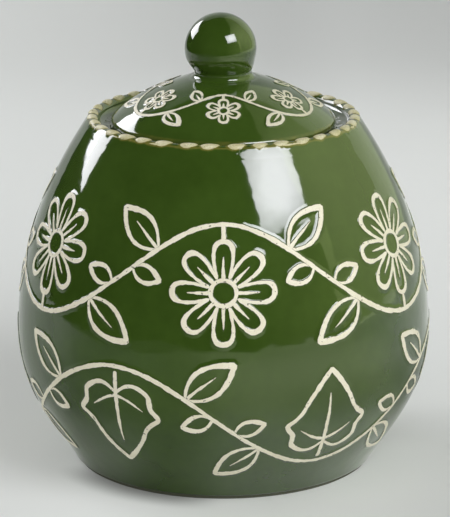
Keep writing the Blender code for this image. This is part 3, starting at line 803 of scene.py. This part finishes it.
# %% Sizes of the lines and motifs
LINE_WIDTH, SLIP_WIDTH, LINE_HEIGHT = 0.0013, 0.00116, 0.00030
ARCHES, UPPER_VINE_UP, LOWER_VINE_UP, VINE_RISE = 6, 0.0670, 0.0275, 0.0150
VINE_LEAF, VINE_LEAF_WIDTH, VINE_LEAF_ANGLE = 0.0160, 0.0080, math.radians(38)
BUD, BUD_WIDTH, BUD_ANGLE = 0.0085, 0.0046, math.radians(20)
DAISY_RADIUS, DAISY_EYE, DAISY_DROP, DAISY_PETALS = 0.0135, 0.0034, 0.0030, 8
IVY_LENGTH, IVY_WIDTH, IVY_STALK = 0.0220, 0.0225, 0.0060
LID_VINE_UP, LID_VINE_RISE, LID_VINE_THICK, LID_DAISY_THICK = 0.0118, 0.0062, 0.72, 0.68
LID_LEAF, LID_LEAF_WIDTH = 0.0062, 0.0034
LID_DAISY_RADIUS, LID_DAISY_EYE, LID_DAISY_DROP, LID_DAISY_PETALS = 0.0046, 0.0014, 0.0006, 6
SKIRT, GLAZE_SHARE = 0.0015, 0.50
VEIN_SHARES, PETAL_SHARES = [0.90, 0.70, 0.18], [0.75, 0.80, 1.15, 1.25, 1.15, 0.80]
LEAF_SHARES = [0.70, 0.85, 1.10, 1.25, 1.35, 1.25, 1.10, 0.85, 0.70]
PETAL_TOP, PETAL_SWELL, PETAL_SWELL_TURN, PETAL_VEIN = 0.56, 0.80, 0.40, 0.62
LEAF_NEAR, LEAF_FAR, LEAF_BEND, LEAF_VEIN = 0.74, 0.553, 0.10, 0.66
VINE_LEAF_AT, BUD_AT, BUD_THICK = -0.17, 0.05, 0.9


def line(points, widths, thick=1.0, closed=False):
    last, widths = len(points) - 1, [width * thick for width in widths]
    halves = []
    for i in range(len(points)):
        place = i / last * (len(widths) - 1)
        low = min(int(place), len(widths) - 2)
        halves.append((widths[low] + (widths[low + 1] - widths[low]) * (place - low)) * SLIP_WIDTH / 2)
    return points, halves, closed


def lengthened(points, distance):
    start = points[0] + (points[0] - points[1]).normalized() * distance
    return start, points[-1] + (points[-1] - points[-2]).normalized() * distance


print("a pot line is", LINE_WIDTH * 1000, "mm wide and stands", LINE_HEIGHT * 1000, "mm high")

# %% The daisy
def petal(centre, tip, step, radius, notch):
    left, right = centre + toward(tip - step / 2) * notch, centre + toward(tip + step / 2) * notch
    top, side = centre + toward(tip) * radius, toward(tip + QUARTER) * radius * math.sin(step / 2) * PETAL_TOP
    turns = tip - step * PETAL_SWELL_TURN, tip + step * PETAL_SWELL_TURN
    near, far = (centre + toward(turn) * radius * PETAL_SWELL for turn in turns)
    up = bezier(left, near, top - side, top, 10)
    return up[:-1] + bezier(top, top + side, far, right, 10)[:-1]


def daisy_lines(radius, eye, petals, drop, rise, thick=1.0):
    centre, step, lines, edge = at(0, -drop), math.tau / petals, [], []
    for i in range(petals):
        tip = QUARTER + i * step
        edge += petal(centre, tip, step, radius, eye + LINE_WIDTH * thick / 2)
        vein = [centre + toward(tip) * (eye + (radius - eye) * PETAL_VEIN * j / 5) for j in range(6)]
        lines.append(line(vein, VEIN_SHARES, thick))
    lines.append(line(edge, PETAL_SHARES * petals + PETAL_SHARES[:1], thick, True))
    lines.append(line(arc(centre, eye, 0, math.tau, 24)[:-1], [1, 1], thick, True))
    stalk = [centre + toward(QUARTER) * (radius + (rise + drop - radius) * j / 3) for j in range(4)]
    return lines + [line(stalk, [1, 1], thick)]


daisy = daisy_lines(DAISY_RADIUS, DAISY_EYE, DAISY_PETALS, DAISY_DROP, VINE_RISE)
print("one daisy has", len(daisy), "lines")


# %% Leaves and stems
def leaf_lines(foot, angle, length, width, thick=1.0, midrib=True):
    ahead, side = toward(angle) * length, toward(angle + QUARTER)

    def place(along, aside):
        return foot + ahead * along + side * (width * aside + length * (LEAF_BEND * along * (1 - along)))

    left = bezier(place(0, 0), place(1 / 3, LEAF_NEAR), place(2 / 3, LEAF_FAR), place(1, 0), 16)
    right = bezier(place(1, 0), place(2 / 3, -LEAF_FAR), place(1 / 3, -LEAF_NEAR), place(0, 0), 16)
    lines = [line(left + right[1:-1], LEAF_SHARES, thick, True)]
    if midrib:
        lines.append(line([place(j / 8 * LEAF_VEIN, 0) for j in range(9)], VEIN_SHARES, thick))
    return lines


def stem_point(x, pitch, rise):
    return at(x, -rise * math.sin(math.pi * x / pitch))


def leaf_pair(foot, angle, *leaf):
    return leaf_lines(foot, angle, *leaf) + leaf_lines(-foot, angle + 2 * QUARTER, *leaf)


def vine_lines(pitch, rise, leaf, leaf_width, thick=1.0):
    stem = [stem_point(pitch * (i / 40 - 0.5), pitch, rise) for i in range(41)]
    start, end = lengthened(stem, LINE_WIDTH)
    lines = [line([start] + stem[1:-1] + [end], [1, 1.15, 0.95, 1.15, 1], thick)]
    foot = stem_point(pitch * VINE_LEAF_AT, pitch, rise)
    return lines + leaf_pair(foot, VINE_LEAF_ANGLE, leaf, leaf_width, thick)


def pot_vine_lines(up_wall):
    pitch = math.tau * radius_at(outer_wall(), up_wall) / ARCHES
    foot = stem_point(pitch * BUD_AT, pitch, VINE_RISE)
    buds = leaf_pair(foot, BUD_ANGLE, BUD, BUD_WIDTH, BUD_THICK, False)
    return vine_lines(pitch, VINE_RISE, VINE_LEAF, VINE_LEAF_WIDTH) + buds


def radius_at(path, distance):
    for a, b in zip(path, path[1:]):
        step = (b - a).length
        if distance <= step:
            return a.lerp(b, distance / step).x
        distance -= step
    return path[-1].x


print("a vine with its buds has", len(pot_vine_lines(UPPER_VINE_UP)), "lines")

# %% The ivy leaf
IVY_EDGE_SHARES = [(0, 0), (-0.09, 0.13), (-0.10, 0.26), (0.00, 0.41), (0.10, 0.43), (0.18, 0.44)]
IVY_EDGE_SHARES += [(0.30, 0.52), (0.38, 0.43), (0.47, 0.35), (0.66, 0.255), (0.84, 0.13), (1, 0)]
IVY_VEIN_SHARES = [(0.04, 0), (0.06, 0.12), (0.14, 0.24), (0.22, 0.34)]
IVY_RIB_SHARES = (0.4, 0.7)
IVY_WIDTH_SHARES = [0.75, 1.2, 1.25, 1.0, 1.3, 1.0, 1.25, 1.2, 0.75]


def smooth_through(points, steps):
    smooth = []
    for i in range(len(points) - 1):
        before, after = points[max(i - 1, 0)], points[min(i + 2, len(points) - 1)]
        a, b = points[i], points[i + 1]
        smooth += bezier(a, a + (b - before) / 6, b - (after - a) / 6, b, steps)[:-1]
    return smooth + [points[-1]]


def ivy_lines():
    foot = at(0, VINE_RISE - LINE_WIDTH - IVY_STALK)

    def half_leaf(shares, side):
        return [foot + at(side * aside * IVY_WIDTH, -down * IVY_LENGTH) for down, aside in shares]

    left, right = (smooth_through(half_leaf(IVY_EDGE_SHARES, side), 4) for side in (-1, 1))
    lines = [line(left + list(reversed(right))[1:-1], IVY_WIDTH_SHARES, closed=True)]
    rib = [foot + at(0, IVY_STALK), foot]
    rib += [foot - at(0, IVY_LENGTH * share) for share in IVY_RIB_SHARES]
    lines.append(line(smooth_through(rib, 6), [1.0, 1.0, 0.8, 0.2]))
    for side in (-1, 1):
        lines.append(line(bezier(*half_leaf(IVY_VEIN_SHARES, side), 10), [0.85, 0.7, 0.2]))
    return lines


print("one ivy leaf:", len(ivy_lines()), "lines")

# %% [markdown]
# ## Trailing the slip
# A tree lays the flat drawing on the pot. It copies the motif for each arch, flips every other copy top
# to bottom, lets the hand wobble a little differently in each, and sweeps a section along every line. The
# height of a place depends only on how far it is from the middle of its line: a low crown of slip, then a
# hollow skirt of glaze that climbs up to it, which is what bends the reflections beside the lines. Then
# each point is wrapped on the wall: its height in the drawing is a distance up the wall's section, and
# its sideways place is an arc round the pot.

# %% Section of one line
HALF_ROWS = [1, 0.84, 0.70, 0.60, 0.54, 0.5, 0.42, 0.25]
LINE_ROWS = [-a for a in HALF_ROWS] + [0] + list(reversed(HALF_ROWS))
section_points = [(a, 0, 0) for a in LINE_ROWS] + [(0.9, 1, 0), (-0.9, 1, 0)]
line_section = drawing("line_section", section_points, chain(len(section_points), closed=True))
lid_top = list(reversed(dome_curve(120)))
walls = {"pot": drawn_section("pot_wall", outer_wall(120)), "lid": drawn_section("lid_wall", lid_top)}
print("a line's section has", len(section_points), "points")

# %% The slip tree, first half: copies that wobble, swept along their lines
WOBBLE_SIZE, PRESS_SIZE, COPY_SEED_STEP = 1 / 150, 1 / 420, 3.7
PRESS_RANGE = (0.25, 0.75, 0.80, 1.20)


def freeze(geometry, **fields):
    node = geometry.tree.nodes.new("GeometryNodeCaptureAttribute")
    geometry.to(node.inputs["Geometry"])
    for name, value in fields.items():
        node.capture_items.new("VECTOR" if value.socket.type == "VECTOR" else "FLOAT", name)
        value.to(node.inputs[name])
    return Value(node.outputs["Geometry"]), [Value(node.outputs[name]) for name in fields]


def as_curve(thing):
    mesh = wired("GeometryNodeObjectInfo", {"Object": thing}, "Geometry")
    return wired("GeometryNodeMeshToCurve", {"Mesh": mesh})


def wobbling_copies(given):
    curve = wired("GeometryNodeMeshToCurve", {"Mesh": given["Geometry"]})
    curve = wired("GeometryNodeResampleCurve", {"Curve": curve, "Length": given["Step"]}, mode="LENGTH")
    curve = wired("GeometryNodeSetCurveNormal", {"Curve": curve}, mode="Z_UP")
    inputs = {"Geometry": curve, "Amount": given["Copies"]}
    copies = wired("GeometryNodeDuplicateElements", inputs, domain="SPLINE")
    curve, (copy,) = freeze(copies, Copy=copies.beside("Duplicate Index"))
    seed = given["Seed"] + copy * COPY_SEED_STEP
    shake = noise(position(curve.tree), WOBBLE_SIZE, 2.0, seed).beside(1)
    aside = vectors("MULTIPLY", vectors("SUBTRACT", shake, (0.5, 0.5, 0.5)), (2, 2, 0))
    inputs = {"Geometry": curve, "Offset": scaled(aside, given["Wobble"])}
    return wired("GeometryNodeSetPosition", inputs), copy, seed


def swept_lines(given, curve, seed):
    place, side, ring, half, run, total = (
        wired(f"GeometryNode{kind}", inputs, output, curve.tree)
        for kind, inputs, output in (
            ("InputPosition", {}, 0),
            ("InputNormal", {}, 0),
            ("InputSplineCyclic", {}, 0),
            ("InputNamedAttribute", {"Name": "half_width"}, 0),
            ("SplineParameter", {}, "Length"),
            ("SplineLength", {}, "Length"),
        )
    )
    half *= ramped(noise(place, PRESS_SIZE, 2.0, seed), *PRESS_RANGE)
    to_end = maths("MINIMUM", run, total - run) + ring - (half + given["Skirt"])
    curve, frozen = freeze(curve, Spine=place, Side=side, Half=half, To_End=to_end)
    section, (row,) = freeze(as_curve(given["Line Section"]), Row=place)
    inputs = {"Curve": curve, "Profile Curve": section, "Fill Caps": True}
    return wired("GeometryNodeCurveToMesh", inputs), frozen, row


print("the first half copies and sweeps")

# %% The slip tree, second half: a height for every point, and its place on the wall
CROWN_FALL, SLIP_END, SUNK, UNDERSIDE = 0.12, 1.02, 0.00002, 0.0003
FULL_WIDTH, LEAST_HEIGHT = LINE_WIDTH * 0.8, 0.30


def raised(given, frozen, row):
    spine, side, half, to_end = frozen
    skirt, reach, (row_across, row_under, _) = given["Skirt"], half + given["Skirt"], split(row)
    cap = maths("MINIMUM", to_end, 0.0)
    width = maths("SQRT", maths("MAXIMUM", reach * reach - cap * cap, 0.0))
    row_share = maths("ABSOLUTE", row_across)
    in_slip = maths("MINIMUM", row_share, 0.5) * (half * 2.0)
    in_skirt = maths("MAXIMUM", row_share - 0.5, 0.0) * (skirt * 2.0)
    across = (in_slip + in_skirt) * maths("SIGN", row_across) * (width / reach)
    away = maths("SQRT", across * across + cap * cap)
    share = away / half
    crown = 1 - share * share * CROWN_FALL
    out = maths("MINIMUM", maths("MAXIMUM", (away - half) / skirt, 0.0), 1.0)
    glaze = (1 - out) ** 2.0 * given["Glaze Share"]
    height = between(maths("LESS_THAN", share, SLIP_END), glaze, crown) * given["Line Height"]
    height = height * maths("MINIMUM", half / FULL_WIDTH + LEAST_HEIGHT, 1.0) - SUNK
    height = height - (height + UNDERSIDE) * row_under
    return vectors("ADD", spine, scaled(side, across)), height, (half - away) * 1000.0


def wrapped(given, flat, height, copy):
    flip = 1 - maths("MODULO", copy, 2.0) * 2.0
    along, up, _ = split(flat)
    wall = as_curve(given["Wall"])
    here, level = (
        wired("GeometryNodeSampleCurve", {"Curves": wall, "Length": length}, "Position", mode="LENGTH")
        for length in (given["Up Wall"] + up * flip, given["Up Wall"])
    )
    own, middle = split(here)[0], split(level)[0]
    arch = copy * math.tau / given["Copies"]
    turn = along / (own + given["Even"] * (middle - own)) + (arch + given["Start Angle"])
    lean = split(here.beside("Tangent"))
    outward = vectors("NORMALIZE", joined(lean[2], 0, lean[0] * -1.0))
    place = turned_round(vectors("ADD", here, scaled(outward, height)), turn)
    return hand_moved(place, Seed=given["Wall Seed"]), flip


print("the second half raises and wraps")

# %% The whole slip tree
def slip_tree():
    inputs = {"Geometry": "Geometry", "Wall": "Object", "Line Section": "Object", "Material": "Material"}
    inputs.update({"Copies": ARCHES, "Start Angle": 0.0, "Up Wall": 0.0, "Even": 0.0, "Step": 0.00045})
    inputs.update({"Line Height": LINE_HEIGHT, "Skirt": SKIRT, "Glaze Share": GLAZE_SHARE})
    inputs.update({"Wobble": 0.00022, "Seed": 1.0, "Wall Seed": POT_SEED})
    tree, given, made = start_group("trailed_slip", "GeometryNodeTree", inputs, {"Geometry": "Geometry"})
    curve, copy, seed = wobbling_copies(given)
    shape, frozen, row = swept_lines(given, curve, seed)
    flat, height, from_edge = raised(given, frozen, row)
    place, flip = wrapped(given, flat, height, copy)
    inputs = {"Geometry": shape, "Name": "from_edge", "Value": from_edge}
    shape, (place,) = freeze(wired("GeometryNodeStoreNamedAttribute", inputs), Place=place)
    shape = wired("GeometryNodeSetPosition", {"Geometry": shape, "Position": place})
    shape = wired("GeometryNodeFlipFaces", {"Mesh": shape, "Selection": maths("LESS_THAN", flip, 0.0)})
    with_material(shape, given).to(made["Geometry"])
    return tree


trailed_slip = slip_tree()
print("slip tree:", len(trailed_slip.nodes), "nodes")

# %% Lay the vines on the pot and the lid
FRONT, HALF_ARCH = -QUARTER, math.pi / ARCHES
WALL_SEEDS = {"pot": POT_SEED, "lid": LID_SEED}


def motif(lines, skirt):
    points, edges, halves = [], [], []
    for path, widths, closed in lines:
        if not closed:
            start, end = lengthened(path, skirt)
            path, widths = [start] + path + [end], widths[:1] + widths + widths[-1:]
        edges += [(len(points) + a, len(points) + b) for a, b in chain(len(path), closed)]
        points += [(p.x, p.y, 0) for p in path]
        halves += widths
    return drawing("motif", points, edges, half_width=halves)


def trail(name, body, seed, lines, up_wall, arch=0.0, even=1.0, skirt=SKIRT, **inputs):
    source = motif(lines, skirt)
    inputs.update(up_wall=up_wall, start_angle=FRONT + arch, even=even, skirt=skirt, seed=seed)
    inputs.update(wall=walls[body], wall_seed=WALL_SEEDS[body], line_section=line_section)
    shaped_by(source, trailed_slip, material=cream_slip, **inputs)
    replaced = [f"{name}_{i + 1}" for i in range(ARCHES)]
    return finish_piece(source, f"{name}_lines", body, replaced, sharp=180)


trail("upper_vine", "pot", 1.0, pot_vine_lines(UPPER_VINE_UP), UPPER_VINE_UP, HALF_ARCH)
trail("daisy", "pot", 2.0, daisy, UPPER_VINE_UP, even=0.0)
trail("lower_vine", "pot", 3.0, pot_vine_lines(LOWER_VINE_UP), LOWER_VINE_UP)
trail("ivy_leaf", "pot", 4.0, ivy_lines(), LOWER_VINE_UP, -HALF_ARCH, 0.0)

# %% Lay the small vine on the lid
lid_pitch = math.tau * radius_at(lid_top, LID_VINE_UP) / ARCHES
lid_vine = vine_lines(lid_pitch, LID_VINE_RISE, LID_LEAF, LID_LEAF_WIDTH, LID_VINE_THICK)
lid_daisy = daisy_lines(
    LID_DAISY_RADIUS, LID_DAISY_EYE, LID_DAISY_PETALS, LID_DAISY_DROP, LID_VINE_RISE, LID_DAISY_THICK
)
lid_inputs = {"step": 0.0003, "skirt": 0.0007, "line_height": 0.00032, "wobble": 0.00012}
trail("lid_vine", "lid", 5.0, lid_vine, LID_VINE_UP, HALF_ARCH, **lid_inputs)
trail("lid_daisy", "lid", 6.0, lid_daisy, LID_VINE_UP, even=0.0, **lid_inputs)
for helper in (line_section, *walls.values()):
    bpy.data.objects.remove(helper)

# %% [markdown]
# ## The table, the room and the lamps
# The bowl stands on pale grey paper that curves up behind it and ends half a metre in front. Beyond that
# edge the room is dark, and a glossy pot shows that: its front is deep green above, and pale only where
# it mirrors the paper. The paper is nearly even to the camera, with a soft shadow at the foot that the
# lamps cast and that is partly painted, and gentle painted light and shade across it. Mirrored in the
# glaze it has painted brighter, darker and greener patches that stand for a real room's light, shade and
# colour, and Light Path's Is Glossy Ray lets the paper hold both. A patch is named by the direction in
# which it lies on the table as seen from the bowl, in degrees from the right and negative towards the
# front, by how sharply it ends, and by how far out it reaches.

# %% Patches on the paper
PAPER_FRONT, PAPER_BACK, PAPER_TOP, PAPER_BEND = -0.52, 0.75, 1.1, 0.25
PAPER_LEFT, PAPER_RIGHT, PAPER_OWN_LIGHT = -0.50, 1.1, 0.12
# The second colour is a painted green that only the glaze's reflections show; the third is the colour of the
# paper's own glow.
PAPER_GREY, PAPER_GREEN, PAPER_GLOW = (0.76, 0.78, 0.75, 1), (0.72, 0.80, 0.50, 1), (1.0, 1.0, 0.97, 1)
# Painted shadow and painted light on the paper round the foot: darker at the front left, lighter at the right
# and at the front.
FOOT_SHADOW = (-126, (0.80, 0.97), (0.051, 0.0415), 0.50)
FOOT_LIT_RIGHT = (-25, (0.60, 0.95), (0.085, 0.050), 0.12)
FOOT_LIT_FRONT = (-108, (0.60, 0.95), (0.095, 0.060), 0.07)
# The mirrored patches, with the fades below, are painted light and painted shade that only the glaze's
# reflections show, and a painted green at the front right.
MIRRORED_FRONT_RIGHT = (-46, (0.60, 0.94), (0.40, 0.16), 0.70)
MIRRORED_GREEN = (-62, (0.2, 0.85), (0.060, 0.110), 1.0)
MIRRORED_LEFT, MIRRORED_LEFT_SHADE = (-136, 0.66, 0.96), 0.42
MIRRORED_RIGHT, MIRRORED_RIGHT_SHADE = (20, -0.10, 0.60), (0.09, 0.17, 0.66, 1.35)
MIRRORED_FRONT, MIRRORED_FOOT_SHADE = (-90, 0.70, 0.95), (0.085, 0.055, 0.0, 0.40)
FOOT_FADE, EDGE_FADE = (0.045, 0.075, 0.60, 1.0), (PAPER_FRONT, PAPER_FRONT + 0.05, 0.45, 1.0)
CORNER_SIDE, CORNER_FADE, SHADOW_IN_MIRROR = -140, (0.33, 0.38, 1.0, 0.40), (0.0, 1.0, 1.0, 0.3)


def toward_share(direction, azimuth, low, high, *shades):
    side = toward(math.radians(azimuth))
    return ramped(vectors("DOT_PRODUCT", direction, (side.x, side.y, 0), output="Value"), low, high, *shades)


def patch(direction, away, azimuth, edge, reach, amount):
    return toward_share(direction, azimuth, *edge) * ramped(away, *reach, 0.0, amount)


# Painted light and shade in the paper's mirror image only: darker to the left and at the paper's front edge
# and front-left corner, brighter near the foot, far out to the right and at the front right.
def mirrored_shade(place, direction, away):
    shade = between(toward_share(direction, *MIRRORED_LEFT), 1.0, MIRRORED_LEFT_SHADE)
    on_right = ramped(away, *MIRRORED_RIGHT_SHADE)
    shade = between(toward_share(direction, *MIRRORED_RIGHT), shade, on_right)
    near_foot = (1 - toward_share(direction, *MIRRORED_FRONT)) * ramped(away, *MIRRORED_FOOT_SHADE)
    front_right = patch(direction, away, *MIRRORED_FRONT_RIGHT) * ramped(away, *FOOT_FADE)
    corner = toward_share(place, CORNER_SIDE, *CORNER_FADE)
    edge = maths("MINIMUM", ramped(split(place)[1], *EDGE_FADE), corner)
    return (shade + near_foot + front_right) * edge


# Painted shadow and painted light on the paper at the foot; the painted shadow is weaker in the glaze's
# reflections.
def foot_shade(direction, away, is_mirrored):
    shadow = patch(direction, away, *FOOT_SHADOW) * ramped(is_mirrored, *SHADOW_IN_MIRROR)
    return 1 - shadow + (patch(direction, away, *FOOT_LIT_RIGHT) + patch(direction, away, *FOOT_LIT_FRONT))


print("patches on the paper are set by direction and distance")


# %% Paper sweep
# Painted light and painted shade on the paper for every ray: lighter from the front to the middle and to the
# right of and behind the bowl, darker at the back right and far back where the paper bends up.
FAR_RIGHT_DEPTH, FAR_RIGHT_SIDE, FAR_RIGHT_DARK = (0.28, 0.68), (-0.14, 0.10, 0.1, 1.0), 0.28
BESIDE_BOWL_SIDE, BESIDE_BOWL_DEPTH = (0.02, 0.06), (0.01, 0.05, 0.0, 0.11)
FRONT_TO_BACK, RISE_FADE = (-0.05, 0.30, 0.90, 1.03), (0.36, 0.66, 1.0, 0.84)


# Painted light and shade across the paper.
def table_shade(place):
    x, y, _ = split(place)
    far_right = ramped(y, *FAR_RIGHT_DEPTH) * ramped(x, *FAR_RIGHT_SIDE)
    beside_bowl = ramped(x, *BESIDE_BOWL_SIDE) * ramped(y, *BESIDE_BOWL_DEPTH)
    shade = (1 - far_right * FAR_RIGHT_DARK) * (beside_bowl + ramped(y, *FRONT_TO_BACK))
    return shade * ramped(y, *RISE_FADE)


def paper_material():
    material, place, shader = new_material("grey_paper")
    is_camera = wired("ShaderNodeLightPath", output="Is Camera Ray", tree=place.tree)
    is_mirrored = is_camera.beside("Is Glossy Ray")
    flat = vectors("MULTIPLY", place, (1, 1, 0))
    direction, away = vectors("NORMALIZE", flat), length_of(flat)
    # The paper's colour carries painted light and painted shade: the table's and the foot's for every ray,
    # and the mirror-only patches for the glaze's rays.
    shade = table_shade(place) * foot_shade(direction, away, is_mirrored)
    shade *= between(is_mirrored, 1.0, mirrored_shade(place, direction, away))
    # A painted green in the paper's mirror image only, towards the front right.
    is_green = patch(direction, away, *MIRRORED_GREEN) * is_mirrored
    scaled(mixed(is_green, PAPER_GREY, PAPER_GREEN), shade).to(shader["Base Color"])
    seen = is_camera + (is_mirrored + is_camera.beside("Is Transmission Ray"))
    (maths("MINIMUM", seen, 1.0) * PAPER_OWN_LIGHT * shade).to(shader["Emission Strength"])
    shader["Emission Color"].default_value = PAPER_GLOW
    shader["Roughness"].default_value = 0.9
    shader["Specular IOR Level"].default_value = 0.0
    return material


def paper_sweep():
    side = [at(PAPER_FRONT, 0), at(0, 0)]
    side += arc(at(PAPER_BACK - PAPER_BEND, PAPER_BEND), PAPER_BEND, -QUARTER, 0, 24)
    side.append(at(PAPER_BACK, PAPER_TOP))
    points = [(x, p.x, p.y) for p in side for x in (PAPER_LEFT, PAPER_RIGHT)]
    faces = [(2 * i, 2 * i + 1, 2 * i + 3, 2 * i + 2) for i in range(len(side) - 1)]
    paper = drawing("paper", points, [], faces)
    paper.data.shade_smooth()
    paper.data.materials.append(paper_material())
    return paper


print("paper:", rounded(paper_sweep().dimensions, 2), "m")

# %% [markdown]
# ## Lamps for the mirror and lamps for the light
# What a glossy pot mirrors and what lights it are two jobs, so most boxes come in pairs: one that only
# the glaze mirrors and one that only lights. They are a window at the front right, a narrow strip at the
# back left and a green wall at the right. A faint haze at the front right is for the mirror alone, and
# two weak fills at the left and the front are for the light alone. Each box is set by the directions of
# its corners as seen from the pot, in degrees of azimuth and elevation. For the mirrored ones they were
# worked back from the mirror images on the ball and the belly. The rim of a box may be dimmer than its
# middle, and a fade dims one side of it.

# %% Soft boxes
LAMP_DISTANCE, POT_MIDDLE = 0.95, Vector((0, 0, 0.06))
WINDOW_CORNERS = [(-74, 51), (-24, 50), (-30, 28), (-62, 29)]
STRIP_CORNERS = [(160, 36), (121, 33), (119, 13), (158, 15)]
WALL_CORNERS = [(-16, 64), (76, 62), (72, -6), (-36, -6)]
HAZE_CORNERS = [(-72, 24), (-20, 30), (-20, -10), (-72, -10)]
LEFT_FILL_CORNERS = [(240, 50), (165, 55), (165, 2), (240, 2)]
FRONT_FILL_CORNERS = [(-125, 25), (-10, 25), (-10, 0), (-125, 0)]
DAYLIGHT, GREEN_WALL, PALE_GREEN = (1, 1, 1.05), (0.86, 1, 0.48), (0.95, 1, 0.88)
GREEN_HAZE, RIM_REACH = (0.80, 1, 0.35), (0.15, 0.70)
X_AXIS, Z_AXIS = 0, 2


def seen_from_pot(azimuth, elevation, distance):
    flat = toward(math.radians(azimuth)) * math.cos(math.radians(elevation))
    return Vector((flat.x, flat.y, math.sin(math.radians(elevation)))) * distance + POT_MIDDLE


def fading_edges(lamp, rim_share, fades):
    lamp.use_nodes = True
    where = wired("ShaderNodeNewGeometry", output="Position", tree=lamp.node_tree)
    from_middle = vectors("SUBTRACT", where.beside("Parametric"), (0.5, 0.5, 0))
    strength = ramped(from_axis(from_middle), *RIM_REACH, 1.0, rim_share)
    for axis, low, high, share in fades:
        strength *= ramped(split(where)[axis], low, high, share, 1.0)
    strength.to(lamp.node_tree.nodes["Emission"].inputs["Strength"])


def soft_box(name, corners, radiance, distance=LAMP_DISTANCE, colour=(1, 1, 1), rim_share=1.0, fades=()):
    a, b, c, d = [seen_from_pot(*corner, distance) for corner in corners]
    across, down = ((b - a) + (c - d)) / 2, ((d - a) + (c - b)) / 2
    width, height = across.length, down.length
    away = across.cross(down).normalized()
    if away.dot(a + c) < 0:
        away = -away
    across = across.normalized()
    lamp = bpy.data.lights.new(name, "AREA")
    lamp.shape, lamp.size, lamp.size_y = "RECTANGLE", width, height
    lamp.energy, lamp.color = radiance * math.pi * width * height, colour
    fading_edges(lamp, rim_share, fades)
    box = put_in_scene(name, lamp)
    box.matrix_world = Matrix((across, away.cross(across), away)).transposed().to_4x4()
    box.location = (a + b + c + d) / 4
    print(f"{name}: {width:.2f} by {height:.2f} m at {rounded(box.location, 2)}, {lamp.energy:.1f} W")
    return box


def mirrored_box(*box):
    soft_box(*box).visible_diffuse = False


def lighting_box(*box):
    soft_box(*box).visible_glossy = False


# %% Hang the lamps
# A box is its corners, brightness, distance and colour, how bright its rim stays, and its fades.
WINDOW_FADES = [(Z_AXIS, 0.46, 0.60, 0.55)]
WALL_FADES = [(Z_AXIS, 0.05, 0.50, 0.70), (X_AXIS, 0.30, 0.60, 0.36)]
HAZE_FADES = [(X_AXIS, 0.30, 0.90, 0.15)]

mirrored_box("window_seen", WINDOW_CORNERS, 13.4, LAMP_DISTANCE, DAYLIGHT, 0.6, WINDOW_FADES)
lighting_box("window_light", WINDOW_CORNERS, 6.8, LAMP_DISTANCE, DAYLIGHT)
mirrored_box("left_strip_seen", STRIP_CORNERS, 9.2, LAMP_DISTANCE, DAYLIGHT, 0.9)
lighting_box("left_strip_light", STRIP_CORNERS, 6.8, LAMP_DISTANCE, DAYLIGHT)
mirrored_box("right_wall_seen", WALL_CORNERS, 1.66, 1.1, GREEN_WALL, 0.6, WALL_FADES)
lighting_box("right_wall_light", WALL_CORNERS, 0.80, 1.1, PALE_GREEN)
mirrored_box("front_haze", HAZE_CORNERS, 0.52, 1.15, GREEN_HAZE, 1.0, HAZE_FADES)
lighting_box("left_fill", LEFT_FILL_CORNERS, 0.75, 1.2)
lighting_box("front_fill", FRONT_FILL_CORNERS, 1.4, 1.2)

# %% Dark room
ROOM_GREY = 0.012
world = bpy.data.worlds.new("room")
bpy.context.scene.world = world
world.use_nodes = True
world.node_tree.nodes["Background"].inputs["Color"].default_value = (ROOM_GREY, ROOM_GREY, ROOM_GREY, 1)
bpy.context.scene.view_settings.view_transform = "Standard"
print("the room's grey is", ROOM_GREY)
